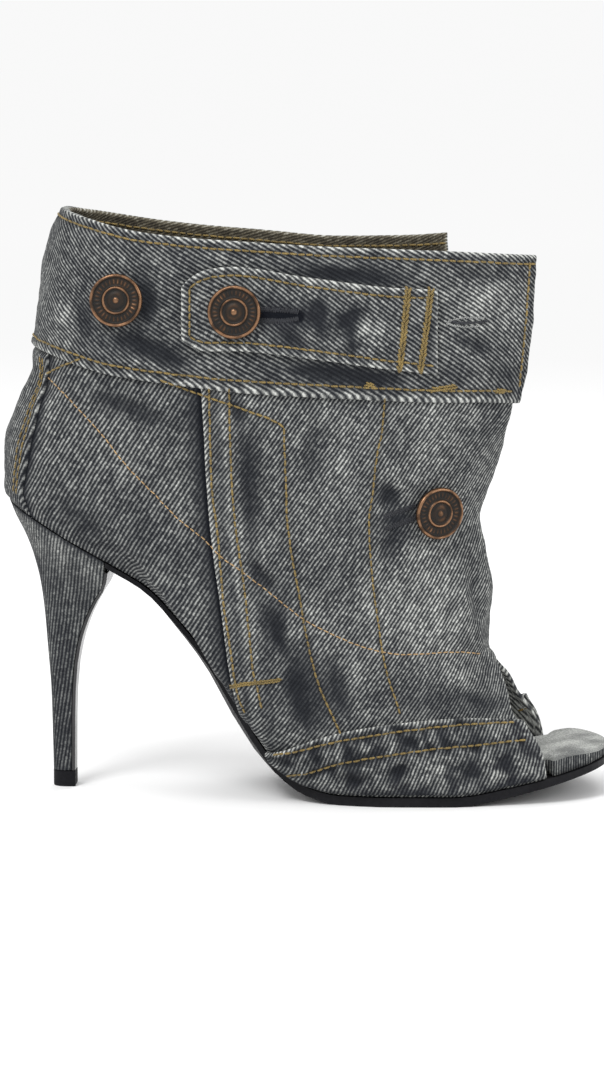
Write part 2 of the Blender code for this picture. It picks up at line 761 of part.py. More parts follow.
def make_button(name, place, foot, stand, finish):
    """A turned shank button: its shank's foot at height foot over the shell, its cap held stand above that."""
    shank = SHANK_DIAMETER / 2
    profile = [(0.0, 0.0), (shank, 0.0), (shank, stand)]
    profile += [(BUTTON_DIAMETER * r, stand + BUTTON_HEIGHT * h) for r, h in BUTTON_PROFILE]
    profile += [(0.0, stand + BUTTON_HEIGHT * BUTTON_PROFILE[-1][1])]
    frame = seat_frame(place, foot)
    points, faces = [], []
    for r, h in profile[1:-1]:
        for k in range(ROUND_STEPS):
            turn = 2 * math.pi * k / ROUND_STEPS
            points.append(np.array(frame @ Vector((r * math.cos(turn), r * math.sin(turn), h))))
    rows = len(profile) - 2
    for i in range(rows - 1):
        for k in range(ROUND_STEPS):
            a, b = i * ROUND_STEPS + k, i * ROUND_STEPS + (k + 1) % ROUND_STEPS
            faces.append((a, b, b + ROUND_STEPS, a + ROUND_STEPS))
    faces.append(tuple(range(ROUND_STEPS))[::-1])
    faces.append(tuple(range((rows - 1) * ROUND_STEPS, rows * ROUND_STEPS)))
    return add_object(name, points, faces, finish)


def cut_buttonhole(target, place, eye, length):
    """Cuts a keyhole buttonhole through a piece on the outer side: a round eye at a place, and from it a slit that
    runs forward by length, or back where length is negative."""
    half = BUTTONHOLE_WIDTH / 2
    way = math.copysign(1.0, length)
    turn = math.asin(half / eye)
    angles = np.linspace(turn, 2 * math.pi - turn, 15)
    outline = [(way * eye * math.cos(a), eye * math.sin(a)) for a in angles]
    outline += [(length, -half * 0.5), (length, half * 0.5)]
    frame = seat_frame(place, 0.0)
    points = [np.array(frame @ Vector((u, w, h))) for h in (-CUT_REACH, CUT_REACH) for u, w in outline]
    count = len(outline)
    faces = [(i, (i + 1) % count, count + (i + 1) % count, count + i) for i in range(count)]
    faces += [tuple(range(count)), tuple(range(count, 2 * count))]
    cutter = add_object("cut_" + target.name, points, faces, DENIM)
    cutter.hide_render = True
    cutter.display_type = "WIRE"
    cut = target.modifiers.new("buttonhole", "BOOLEAN")
    cut.operation = "DIFFERENCE"
    cut.solver = "EXACT"
    cut.object = cutter


def main():
    for old in list(bpy.data.objects):
        bpy.data.objects.remove(old)
    make_outsole(BLACK_LEATHER)
    make_insole(SOCK)
    make_heel(DENIM)
    make_breast_cover(BLACK_LEATHER)
    make_top_piece(BLACK_LEATHER)
    upper = make_upper(DENIM)
    make_collar_band(DENIM)
    for side in (OUTER, INNER):
        make_vamp_band(side, DENIM)
    tab = make_tab(DENIM)

    under_flap, on_shell = -WALL, SEAM_GAP
    on_band = SEAM_GAP * 2 + BAND_THICK
    over_tab = on_band + SEAM_GAP + TAB_THICK + float(TAB_LINE.at("lift", 0.22)) + 2 * SEAM_GAP
    make_button("button_band", BAND_BUTTON, on_band, SHANK_STAND, COPPER)
    make_button("button_tab", TAB_BUTTON, on_band, over_tab - on_band, COPPER)
    make_button("button_placket", PLACKET_BUTTON, under_flap, SHANK_STAND + on_shell - under_flap, COPPER)

    eye = SHANK_DIAMETER / 2 + SEAM_GAP
    cut_buttonhole(tab, TAB_BUTTON, eye, TAB_BUTTONHOLE)
    cut_buttonhole(upper, PLACKET_BUTTON, eye, -PLACKET_BUTTONHOLE)


main()
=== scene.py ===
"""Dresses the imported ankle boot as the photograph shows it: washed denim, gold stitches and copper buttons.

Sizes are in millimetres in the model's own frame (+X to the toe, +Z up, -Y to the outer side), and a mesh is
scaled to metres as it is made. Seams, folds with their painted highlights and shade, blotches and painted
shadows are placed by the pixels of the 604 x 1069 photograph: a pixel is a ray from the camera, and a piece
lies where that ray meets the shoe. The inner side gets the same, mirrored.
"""

import math

import bmesh
import bpy
import numpy as np
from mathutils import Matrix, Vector
from mathutils.bvhtree import BVHTree


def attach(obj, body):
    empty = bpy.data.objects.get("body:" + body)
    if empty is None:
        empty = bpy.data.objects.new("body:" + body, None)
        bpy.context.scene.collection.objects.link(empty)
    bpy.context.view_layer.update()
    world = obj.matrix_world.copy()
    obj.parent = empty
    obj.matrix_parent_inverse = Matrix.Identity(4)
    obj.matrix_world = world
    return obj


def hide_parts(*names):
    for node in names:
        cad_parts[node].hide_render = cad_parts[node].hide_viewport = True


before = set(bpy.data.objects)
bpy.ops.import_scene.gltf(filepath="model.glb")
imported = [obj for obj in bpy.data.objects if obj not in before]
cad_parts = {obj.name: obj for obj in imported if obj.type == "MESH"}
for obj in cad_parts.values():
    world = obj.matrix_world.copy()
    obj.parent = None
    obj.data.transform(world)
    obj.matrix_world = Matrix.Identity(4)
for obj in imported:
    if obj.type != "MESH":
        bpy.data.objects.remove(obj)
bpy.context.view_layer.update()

MM = 0.001
OUTER, INNER = -1, 1

# The photograph and its camera
PHOTO_WIDTH, PHOTO_HEIGHT = 604, 1069
MM_PER_PIXEL = 0.355
CAMERA_PLACE = (22.6, -1370.3, 265.0)
CAMERA_YAW = math.radians(2.5)
CAMERA_PITCH = math.radians(7.204)
FOCAL_PIXELS = 1370.0 / MM_PER_PIXEL
SENSOR = 36.0

# The shell that part.py builds on, repeated here because scene.py can't read it
BALL_TO_HEEL = 142.0
BALL_TO_TOE = 73.0
SEAT_RISE = 101.2
TOE_SPRING = 10.5
BALL_WIDTH = 76.0
OUTSOLE_THICK = 3.3
HEEL_ROUND = 24.0
TOE_POWER = 2.3
OUTER_TOE_ROUND = 30.0
INNER_TOE_ROUND = 14.0
TREAD_REACH = 22.0
THIN_REACH = 60.0
BREAST_REACH = 106.2
INSOLE_THICK = 6.6
INSOLE_MARGIN = 1.1
INSOLE_LEVEL = 0.08
TOP_PIECE_HEIGHT = 5.6
TIP_WIDTH = 9.2
BREAST_COVER = 1.1
BREAST_LAP = 1.0
WALL = 1.8
SEAM_GAP = 0.3
FEATHER_INSET = 0.7
BACK_ROUND = 27.0
STAY_RISE = 1.2
FACING_RISE = 1.2
FACING_FADE = 26.0
VAMP_BAND_THICK = 1.5
VAMP_BAND_TOP = 30.4
VAMP_BAND_REACH = 47.5
BAND_FOOT = 144.0
BAND_HEIGHT = 51.0
BAND_THICK = 1.5
BAND_LAP = 10.0
TAB_LENGTH = 88.0
TAB_WIDTH = 27.0
TAB_THICK = 1.7
TAB_CHAMFER = 9.0
TAB_MIDDLE_REACH = 33.5
BUTTON_DIAMETER = 18.6
BUTTON_HEIGHT = 2.6
SHANK_DIAMETER = 4.2
TAPER_START = 0.44
HEEL_EASE = 0.55
FOOT_LEVEL = 0.40
FOOT_POWER = 2.2


class Table:
    """A short table with named columns. Its first column is the key, and the others are read between its rows
    by a cubic that never overshoots them."""

    def __init__(self, names, *rows):
        columns = np.array(rows, float).T
        self.key = columns[0]
        self.values = dict(zip(names.split()[1:], columns[1:]))

    def at(self, name, where):
        x, y = self.key, self.values[name]
        h, rise = np.diff(x), np.diff(y)
        slope = rise / h
        tangent = np.zeros(len(x))
        tangent[0], tangent[-1] = slope[0], slope[-1]
        same = slope[:-1] * slope[1:] > 0
        before, after = 2 * h[1:] + h[:-1], h[1:] + 2 * h[:-1]
        safe_low, safe_high = np.where(same, slope[:-1], 1), np.where(same, slope[1:], 1)
        tangent[1:-1] = np.where(same, (before + after) / (before / safe_low + after / safe_high), 0)
        where = np.clip(where, x[0], x[-1])
        i = np.clip(np.searchsorted(x, where, side="right") - 1, 0, len(x) - 2)
        t = (where - x[i]) / h[i]
        ease = t * t * (3 - 2 * t)
        bend = h[i] * t * (1 - t) * (tangent[i] * (1 - t) - tangent[i + 1] * t)
        return y[i] + ease * rise[i] + bend

    def by_side(self, side, where):
        return np.where(side == OUTER, self.at("outer", where), self.at("inner", where))


# The sole seen from the side. reach is a share of BALL_TO_HEEL or BALL_TO_TOE, rise of SEAT_RISE or
# TOE_SPRING.
ARCH = Table(
    "reach rise",
    (0.000, 0.000), (0.155, 0.000), (0.235, 0.019), (0.296, 0.064), (0.353, 0.147), (0.414, 0.274),
    (0.490, 0.447), (0.556, 0.565), (0.648, 0.705), (0.736, 0.786), (0.831, 0.867), (0.923, 0.943),
    (1.000, 1.000),
)
FORE = Table(
    "reach rise",
    (0.000, 0.000), (0.250, 0.000), (0.490, 0.240), (0.690, 0.520), (1.000, 1.000),
)

# The sole seen from below. station is a share of the sole's length from the heel, the half widths of
# BALL_WIDTH.
OUTLINE = Table(
    "station outer inner",
    (0.000, 0.322, 0.316), (0.093, 0.322, 0.316), (0.177, 0.276, 0.270), (0.265, 0.217, 0.204),
    (0.335, 0.217, 0.191), (0.405, 0.276, 0.237), (0.474, 0.375, 0.342), (0.544, 0.454, 0.428),
    (0.637, 0.500, 0.480), (0.730, 0.493, 0.493), (0.823, 0.447, 0.487), (0.893, 0.401, 0.460),
    (1.000, 0.340, 0.400),
)

# The heel. height is a share of the way from its tip to the seat, back is a share of BALL_TO_HEEL, front of
# the way from the tip's front to the breast, half of TIP_WIDTH.
HEEL = Table(
    "height back front half",
    (0.00, 0.895, 0.00, 0.50), (0.30, 0.900, 0.02, 0.54), (0.46, 0.908, 0.07, 0.64),
    (0.59, 0.915, 0.19, 0.85), (0.70, 0.925, 0.38, 1.18), (0.80, 0.942, 0.65, 1.62),
    (0.88, 0.962, 0.91, 2.05), (0.95, 0.986, 1.00, 2.40), (1.00, 1.000, 1.00, 2.62),
)
TIP_FRONT = 0.838

# The shell seen from the side: where its back and its nose lie at each level, as shares of BALL_TO_HEEL and
# BALL_TO_TOE.
BACK_LINE = Table(
    "level x",
    (0.00, 0.990), (0.13, 1.005), (0.25, 1.007), (0.37, 1.003), (0.53, 0.985), (0.68, 0.957), (0.84, 0.931),
    (1.00, 0.926), (1.50, 0.903), (1.80, 0.880), (2.00, 0.852),
)
NOSE_LINE = Table(
    "level x",
    (0.00, 1.000), (0.065, 0.900), (0.12, 0.780), (0.20, 0.590), (0.26, 0.475), (0.31, 0.412), (0.38, 0.420),
    (0.46, 0.424), (0.56, 0.396), (0.66, 0.364), (0.73, 0.390), (0.80, 0.440), (0.88, 0.482), (1.00, 0.575),
    (2.00, 0.710),
)

# The shell seen from above. half is a share of BALL_WIDTH, heel the share of it kept at the back, taper and
# blunt the powers that close the nose.
GIRTH = Table(
    "level half heel taper blunt",
    (0.00, 0.500, 0.68, 3.0, 2.0), (0.10, 0.520, 0.68, 3.0, 2.0), (0.20, 0.505, 0.71, 3.0, 2.0),
    (0.35, 0.470, 0.76, 2.8, 1.9), (0.50, 0.445, 0.80, 2.3, 1.6), (0.70, 0.430, 0.85, 2.0, 1.6),
    (1.00, 0.430, 0.88, 1.6, 2.1), (2.00, 0.415, 0.88, 1.6, 2.2),
)

# Where the front edges lie at each level, as shares of the way from the back to the nose. Past 1 the inner
# edge runs on under the outer one.
EDGES = Table(
    "level outer inner",
    (0.000, 0.893, 0.897), (0.065, 0.914, 0.918), (0.120, 0.928, 0.938), (0.150, 0.934, 0.949),
    (0.200, 0.966, 0.970), (0.250, 0.988, 0.988), (0.310, 1.000, 1.012), (0.380, 1.000, 1.080),
    (0.500, 1.000, 1.200), (0.660, 1.000, 1.220), (0.740, 1.000, 1.140), (0.800, 1.000, 1.050),
    (0.860, 1.000, 0.965), (0.930, 0.988, 0.895), (1.000, 0.976, 0.845), (2.000, 0.955, 0.780),
)
BAND_EDGES = Table(
    "level outer inner",
    (1.00, 0.984, 0.858), (2.00, 0.963, 0.782),
)

# Feature lines on the shell, as shares of BALL_TO_HEEL behind the ball.
FACING_LINE = Table(
    "level x",
    (0.00, 0.395), (0.26, 0.429), (0.42, 0.452), (0.59, 0.477), (0.75, 0.489), (1.00, 0.502),
)
STAY_LINE = Table(
    "level x",
    (0.00, 0.935), (0.15, 0.951), (0.35, 0.940), (0.50, 0.927), (0.68, 0.908), (0.85, 0.891), (1.00, 0.885),
)

# The band's lower edge and the collar's top edge. station is a share of the way from back to nose, the rest
# are shares of BAND_HEIGHT above BAND_FOOT. The collar stands higher on the inner side.
BAND_LINE = Table(
    "station foot outer inner",
    (0.00, 0.32, 1.26, 1.26), (0.06, 0.26, 1.20, 1.22), (0.16, 0.16, 1.12, 1.16), (0.26, 0.11, 1.08, 1.12),
    (0.40, 0.06, 1.05, 1.08), (0.55, 0.03, 1.02, 1.04), (0.70, 0.00, 1.00, 1.05), (0.82, -0.02, 0.98, 1.08),
    (0.91, -0.03, 0.96, 1.09), (1.00, -0.05, 0.94, 1.09),
)

# The vamp band's top edge seen from the side. reach is a share of the way from its back end to its front
# end, and height a share of VAMP_BAND_TOP above the floor.
VAMP_BAND_LINE = Table(
    "reach height",
    (0.00, 0.60), (0.10, 0.70), (0.22, 0.82), (0.37, 0.91), (0.60, 0.98), (0.77, 1.00), (0.90, 0.98),
    (1.00, 0.94),
)

# The tab, from its buttoned end to its sewn end. along is a share of TAB_LENGTH, middle a height as a share
# of BAND_HEIGHT above BAND_FOOT, width a share of TAB_WIDTH.
TAB_LINE = Table(
    "along middle width lift",
    (0.00, 0.57, 1.00, 0.9), (0.20, 0.60, 1.08, 0.5), (0.50, 0.54, 1.04, 0.2), (0.80, 0.47, 1.05, 0.0),
    (1.00, 0.44, 1.10, 0.0),
)


def bell(x, width=1.0, power=2.0):
    """1 where x is 0, and falls off on both sides over about width."""
    return np.exp(-np.abs(x / width) ** power)


def smooth(t):
    t = np.clip(t, 0.0, 1.0)
    return t * t * (3 - 2 * t)


def rounded(t, power=2.0):
    """Rises from 0 to 1 as the quarter of an ellipse does, over t from 0 to 1."""
    return (1 - (1 - np.clip(t, 0.0, 1.0)) ** power) ** (1 / power)


def unit(vectors):
    return vectors / np.linalg.norm(vectors, axis=-1, keepdims=True)


# The shell
def feather_z(x):
    """The height of the surface that upper and insole stand on, above the floor."""
    back = SEAT_RISE * ARCH.at("rise", -x / BALL_TO_HEEL)
    front = TOE_SPRING * FORE.at("rise", x / BALL_TO_TOE)
    return OUTSOLE_THICK + np.where(x < 0, back, front)


def steepness(x):
    """How much longer a plumb cut through the sole is than a square one."""
    slope = feather_z(x + 0.5) - feather_z(x - 0.5)
    return np.sqrt(1 + slope**2)


def sole_half(x, side):
    """Half the sole's width at x, on one side."""
    width = BALL_WIDTH * OUTLINE.by_side(side, (x + BALL_TO_HEEL) / (BALL_TO_HEEL + BALL_TO_TOE))
    toe = np.where(side == OUTER, OUTER_TOE_ROUND, INNER_TOE_ROUND)
    return width * rounded((x + BALL_TO_HEEL) / HEEL_ROUND) * rounded((BALL_TO_TOE - x) / toe, TOE_POWER)


def shell_span(level):
    """The x of the shell's back and of its nose."""
    return -BALL_TO_HEEL * BACK_LINE.at("x", level), BALL_TO_TOE * NOSE_LINE.at("x", level)


def shell_x(station, level):
    back, nose = shell_span(level)
    return back + (nose - back) * station


def shell_z(station, level, side=OUTER):
    foot_x = shell_x(station, np.zeros_like(level))
    foot = feather_z(foot_x) + (SEAM_GAP * 2 - SEAM_GAP / steepness(foot_x)) * steepness(foot_x)
    line = BAND_FOOT + BAND_HEIGHT * BAND_LINE.at("foot", station)
    top = BAND_FOOT + BAND_HEIGHT * BAND_LINE.by_side(side, station)
    return np.where(level < 1, foot + (line - foot) * level, line + (top - line) * (level - 1))


def shell_half(station, level, side):
    """Half the shell's width: the sole's own outline at its foot, easing into the shaft's plainer one."""
    back, nose = shell_span(level)
    heel = GIRTH.at("heel", level)
    shape = heel + (1 - heel) * smooth(station / HEEL_EASE)
    start = rounded(station * (nose - back) / BACK_ROUND)
    ahead = np.clip((station - TAPER_START) / (1 - TAPER_START), 0, 1)
    close = (1 - ahead ** GIRTH.at("taper", level)) ** (1 / GIRTH.at("blunt", level))
    shaft = BALL_WIDTH * GIRTH.at("half", level) * shape * start * close
    foot = sole_half(shell_x(station, np.zeros_like(level)), side)
    foot = np.maximum(foot - FEATHER_INSET * rounded(station * 20), 0)
    ease = 1 - (1 - np.clip(level / FOOT_LEVEL, 0, 1)) ** FOOT_POWER
    return foot + (shaft - foot) * ease


def station_of(theta):
    return (1 - np.cos(np.pi * theta)) / 2


def theta_of(station):
    """The inverse of station_of, from 0 at the back to 1 at the nose."""
    return np.arccos(np.clip(1 - 2 * station, -1, 1)) / np.pi


def theta_at(x, level):
    """theta of the inner side's point at x."""
    back, nose = shell_span(level)
    return theta_of((x - back) / (nose - back))


def bare_shell(theta, level):
    side = np.where(theta < 0, OUTER, INNER)
    side = np.where(np.abs(theta) > 1, -side, side)
    station = station_of(np.abs(theta))
    y = side * shell_half(station, level, side)
    return np.stack([shell_x(station, level), y, shell_z(station, level, side)], -1)


def shell_normal(theta, level):
    e = 0.004
    across = bare_shell(theta + e, level) - bare_shell(theta - e, level)
    up = bare_shell(theta, level + e) - bare_shell(theta, level - e)
    normal = np.cross(up, across)
    normal[..., 2] *= smooth((level - 0.005) / 0.05)
    return unit(normal)


def shell(theta, level, lift=0.0):
    """A point on the shell's outer face, raised by lift. Past the inner nose the face sinks by a wall and a gap,
    so that the underlap passes inside the outer front."""
    theta, level = np.broadcast_arrays(np.asarray(theta, float), np.asarray(level, float))
    lapped = smooth((level - 0.2) / 0.1) * (1 - smooth((level - 0.9) / 0.1))
    sink = (WALL + SEAM_GAP) * smooth((theta - 0.8) / 0.17) * lapped
    return bare_shell(theta, level) + shell_normal(theta, level) * (lift - sink)[..., None]


def locate(x, z):
    """theta and level of the outer side's point that shows at x and z from the side."""
    x, z = np.broadcast_arrays(x, z)
    level = np.full(x.shape, 0.5)
    for _ in range(30):
        theta = theta_at(x, level)
        station = station_of(theta)
        foot, line, top = (shell_z(station, np.full(x.shape, height)) for height in (0.0, 1.0, 2.0))
        found = np.where(z < line, (z - foot) / (line - foot), 1 + (z - line) / (top - line))
        level = (level + np.clip(found, 0.0, 2.0)) / 2
    return -theta, level


def line_theta(table, level):
    """theta of a feature line at each level, on the inner side."""
    return theta_at(-BALL_TO_HEEL * table.at("x", level), level)


# The photograph's rays
AHEAD = Vector(
    (
        -math.sin(CAMERA_YAW) * math.cos(CAMERA_PITCH),
        math.cos(CAMERA_YAW) * math.cos(CAMERA_PITCH),
        -math.sin(CAMERA_PITCH),
    )
)
TURN = np.array(AHEAD.to_track_quat("-Z", "Y").to_matrix())
EYE = np.array(CAMERA_PLACE)


def pixel(points):
    """Where points show in the photograph. The inner side is read as if it were mirrored to the outer side."""
    points = np.stack([points[..., 0], -np.abs(points[..., 1]), points[..., 2]], -1)
    local = (points - EYE) @ TURN
    scale = -FOCAL_PIXELS / local[..., 2]
    return PHOTO_WIDTH / 2 + local[..., 0] * scale, PHOTO_HEIGHT / 2 - local[..., 1] * scale


def curve(points, step=2.0):
    """A smooth curve through points, divided about every step."""
    p = np.asarray(points, float)
    p = np.vstack([2 * p[0] - p[1], p, 2 * p[-1] - p[-2]])
    out = []
    for a, b, c, d in zip(p, p[1:], p[2:], p[3:]):
        t = np.linspace(0, 1, max(2, int(np.linalg.norm(c - b) / step)), endpoint=False)[:, None]
        bend = (2 * a - 5 * b + 4 * c - d) * t**2 + (3 * b - a - 3 * c + d) * t**3
        out.append(b + ((c - a) * t + bend) / 2)
    return np.vstack(out + [p[-2:-1]])


def near(line, px, py):
    """How far each pixel lies from a line, how far along the line that is, and the line's length."""
    gap, along, run = np.full(px.shape, 1e9), np.zeros(px.shape), 0.0
    for (x0, y0), (x1, y1) in zip(line[:-1], line[1:]):
        dx, dy = x1 - x0, y1 - y0
        length = math.hypot(dx, dy)
        t = np.clip(((px - x0) * dx + (py - y0) * dy) / length**2, 0, 1)
        there = np.hypot(px - x0 - t * dx, py - y0 - t * dy)
        closer = there < gap
        gap = np.where(closer, there, gap)
        along = np.where(closer, run + t * length, along)
        run += length
    return gap, along, run


def line_tone(line, px, py, width):
    return bell(near(curve(line, 6.0), px, py)[0], width)


def waves(points, length, seed, count=14):
    """Smooth noise of about unit size, the sum of a few sines with waves of about that length."""
    rng = np.random.default_rng(seed)
    total = np.zeros(points.shape[:-1])
    for _ in range(count):
        way = rng.normal(size=3)
        way *= 2 * math.pi / (np.linalg.norm(way) * length * rng.uniform(0.7, 1.4))
        total += np.sin(points @ way + rng.uniform(0, 2 * math.pi))
    return total * math.sqrt(2 / count)


# Soft ridges and troughs by pixel: width in pixels, height in mm, tone from 1 for pale to -1 for dark, and
# the points that the fold runs through. The tone is a painted highlight on a ridge and painted shade in a trough.
FOLDS = (
    (8, 0.9, 0.7, ((238, 390), (248, 401), (258, 412))),
    (9, -0.9, -0.5, ((226, 398), (236, 411), (246, 424))),
    (10, -1.3, -0.35, ((243, 430), (250, 480), (247, 540))),
    (8, 0.7, 0.3, ((262, 436), (268, 480), (266, 530))),
    (8, -1.5, -0.6, ((252, 560), (264, 577), (278, 592))),
    (7, 1.0, 0.6, ((248, 548), (261, 562), (276, 579))),
    (9, 0.6, 0.45, ((347, 448), (343, 466), (339, 484))),
    (9, 0.6, 0.45, ((362, 560), (368, 600), (372, 640))),
    (9, 0.8, 0.5, ((384, 468), (398, 482), (406, 500))),
    (7, -1.2, -0.8, ((386, 486), (390, 497), (388, 508))),
    (9, -1.1, -0.4, ((396, 524), (390, 542), (384, 562))),
    (8, 0.6, 0.35, ((410, 530), (404, 552), (398, 575))),
    (8, -1.1, -0.6, ((262, 600), (276, 630), (290, 662))),
    (8, -1.0, -0.6, ((290, 662), (298, 700), (313, 736))),
    (8, 0.8, 0.4, ((276, 600), (290, 630), (303, 662))),
    (8, -0.9, -0.5, ((330, 655), (338, 690), (348, 722))),
    (9, 0.6, 0.3, ((352, 660), (358, 690), (366, 722))),
    (9, -0.9, -0.4, ((455, 690), (480, 700), (505, 708))),
    (8, 0.8, 0.4, ((440, 672), (470, 684), (500, 696))),
    (8, -0.8, -0.3, ((470, 560), (476, 600), (484, 632))),
    (10, 0.7, 0.3, ((456, 545), (462, 590), (470, 630))),
    (10, -0.8, -0.3, ((320, 420), (312, 450), (306, 480))),
    (8, 0.6, 0.35, ((104, 388), (140, 398), (176, 414))),
    (10, -0.8, -0.35, ((90, 396), (130, 408), (170, 426))),
    (9, -0.9, -0.35, ((60, 500), (80, 520), (104, 538))),
    (10, 0.9, 0.3, ((62, 300), (66, 316), (74, 332))),
    (10, -1.0, -0.5, ((84, 296), (84, 318), (92, 338))),
    (9, -1.1, -0.7, ((144, 284), (148, 300), (150, 318))),
    (9, 0.8, 0.4, ((162, 270), (160, 296), (166, 330))),
    (9, -1.2, -0.7, ((112, 332), (150, 346), (190, 364))),
    (8, 0.9, 0.5, ((106, 348), (146, 362), (184, 374))),
    (8, -0.8, -0.6, ((296, 272), (348, 276), (402, 282))),
    (8, -0.9, -0.7, ((280, 366), (340, 376), (404, 382))),
    (8, -0.8, -0.6, ((448, 330), (470, 344), (500, 350))),
    (9, 0.7, 0.2, ((446, 350), (474, 362), (508, 364))),
    (8, 0.7, 0.15, ((452, 290), (480, 296), (512, 292))),
    (8, -0.7, -0.4, ((450, 272), (480, 276), (516, 274))),
)
# The tab's folds and the forefoot bands' folds, given the same way, with painted highlight and shade
TAB_FOLDS = (
    (9, -0.7, -0.9, ((320, 296), (318, 316), (322, 340))),
    (8, -0.6, -0.9, ((352, 322), (350, 338), (352, 354))),
    (7, -0.5, -0.8, ((334, 326), (346, 318), (362, 308))),
    (8, 0.7, 0.9, ((334, 350), (350, 338), (374, 318))),
    (7, 0.5, 0.7, ((300, 340), (312, 332), (330, 318))),
    (8, 0.5, 0.5, ((292, 286), (312, 284), (330, 290))),
    (8, 0.5, 0.5, ((374, 322), (378, 332), (376, 346))),
    (9, -0.5, -0.5, ((276, 328), (292, 338), (310, 344))),
)
CUFF_FOLDS = (
    (7, -0.8, -0.9, ((350, 764), (356, 776), (358, 788))),
    (7, -0.7, -0.8, ((392, 762), (396, 774), (394, 788))),
    (7, -0.8, -0.8, ((466, 756), (471, 768), (476, 782))),
    (6, -0.6, -0.7, ((346, 742), (350, 750), (352, 758))),
    (6, -0.6, -0.7, ((404, 734), (406, 744), (410, 752))),
    (7, 0.6, 0.7, ((306, 764), (326, 764), (346, 760))),
    (8, 0.6, 0.6, ((418, 762), (434, 772), (446, 786))),
    (7, 0.6, 0.5, ((372, 764), (376, 776), (374, 790))),
    (6, -0.6, -0.5, ((500, 748), (506, 762), (508, 776))),
    (6, 0.5, 0.4, ((488, 750), (492, 764), (492, 780))),
    (6, -0.6, -0.6, ((438, 732), (442, 740), (450, 748))),
    (6, -0.6, -0.6, ((310, 750), (318, 758), (322, 768))),
)

# Blotches and painted shadows by pixel: middle, reach along and across, turn in degrees, and tone. Some are
# blotches of the wash; the dark ones beside the band's button, above and below the tab, in the placket's
# buttonhole and along troughs are painted shadow and shade.
BLOTCHES_AND_SHADOWS = (
    (144, 300, 16, 26, 0, -0.8), (122, 346, 30, 12, 15, -0.5), (70, 318, 10, 22, 0, 0.4),
    (170, 360, 26, 8, 12, -0.5), (345, 274, 60, 8, 4, -0.7), (345, 374, 60, 7, 5, -0.8),
    (460, 370, 30, 12, 0, -0.35), (506, 372, 14, 12, 0, -0.4), (290, 430, 14, 40, 5, 0.15),
    (316, 700, 24, 30, 10, -0.6), (280, 620, 10, 24, 8, -0.7), (300, 668, 12, 28, 12, -0.6),
    (256, 470, 12, 50, 0, -0.25), (388, 494, 9, 10, 0, -0.7), (400, 540, 14, 24, 10, -0.35),
    (462, 560, 14, 60, 4, -0.2), (440, 700, 60, 18, 4, -0.25), (376, 610, 12, 46, 3, 0.2),
    (342, 468, 12, 28, 8, 0.25), (90, 440, 40, 50, 0, 0.12), (150, 600, 30, 50, 50, -0.12),
    (218, 600, 14, 90, 3, -0.1), (40, 440, 10, 60, 5, 0.25), (440, 600, 62, 66, 0, 0.42),
    (430, 445, 42, 50, 0, 0.22), (228, 520, 15, 150, -4, 0.3), (486, 316, 46, 60, 0, 0.28),
    (110, 500, 70, 90, 0, -0.16), (398, 518, 17, 7, -20, -1.0), (120, 400, 50, 14, 20, -0.3),
)
BUTTON_PIXELS = ((116, 300), (232, 312), (438, 513))
CALM_REACH = 30.0


def fold_field(folds, px, py):
    """The height that folds give at each pixel, and the tone they paint: highlight on ridges, shade in troughs."""
    height, tone = np.zeros(px.shape), np.zeros(px.shape)
    for width, rise, shade, points in folds:
        line = curve(points, 8.0)
        low, high = line.min(0) - 3 * width, line.max(0) + 3 * width
        inside = (px > low[0]) & (px < high[0]) & (py > low[1]) & (py < high[1])
        if not inside.any():
            continue
        gap, along, length = near(line, px[inside], py[inside])
        ends = smooth((np.minimum(along, length - along) + width * 0.6) / (length * 0.3 + width))
        shape = bell(gap, width, 1.7) * ends
        height[inside] += rise * shape
        tone[inside] += shade * shape * (0.6 if shade > 0 else 1.25)
    return height, tone


def blotch_and_shadow_tone(px, py):
    tone = np.zeros(px.shape)
    for x, y, along, across, turn, shade in BLOTCHES_AND_SHADOWS:
        turn = math.radians(turn)
        u = (px - x) * math.cos(turn) + (py - y) * math.sin(turn)
        v = (py - y) * math.cos(turn) - (px - x) * math.sin(turn)
        tone += shade * bell(u, along) * bell(v, across)
    return tone


# How much of a fold's stated height shows, and the cloth's own slack: height, wave length and seed
FOLD_SHARE = 1.45
SLACK = ((0.26, 19, 3), (0.13, 8, 5))


def drape(theta, level):
    """How far the cloth stands off the plain shell, its tone there (painted highlight, shade and shadow, and wash
    blotches), and where that shows.
    """
    base = shell(theta, level)
    px, py = pixel(base)
    height, tone = fold_field(FOLDS, px, py)
    height = FOLD_SHARE * height + sum(rise * waves(base, length, seed) for rise, length, seed in SLACK)
    for x, y in BUTTON_PIXELS:
        height = height * (1 - bell(np.hypot(px - x, py - y), CALM_REACH, 4))
    tone = tone + blotch_and_shadow_tone(px, py)
    return height * smooth(level / 0.1), tone, px, py


def lip(distance, radius=0.8):
    """The quarter round of a folded edge: 0 at the edge, and 1 from radius on."""
    return np.sqrt(1 - (1 - np.clip(distance / radius, 0, 1)) ** 2)


NEAR_EDGE = np.array((0.0, 0.1, 0.3, 0.6, 1.1, 1.8))


def crowded(length, middle):
    """Places from 0 to length, close together at both ends so that an edge can be rounded there."""
    return np.concatenate([NEAR_EDGE, middle, length - NEAR_EDGE[::-1]])


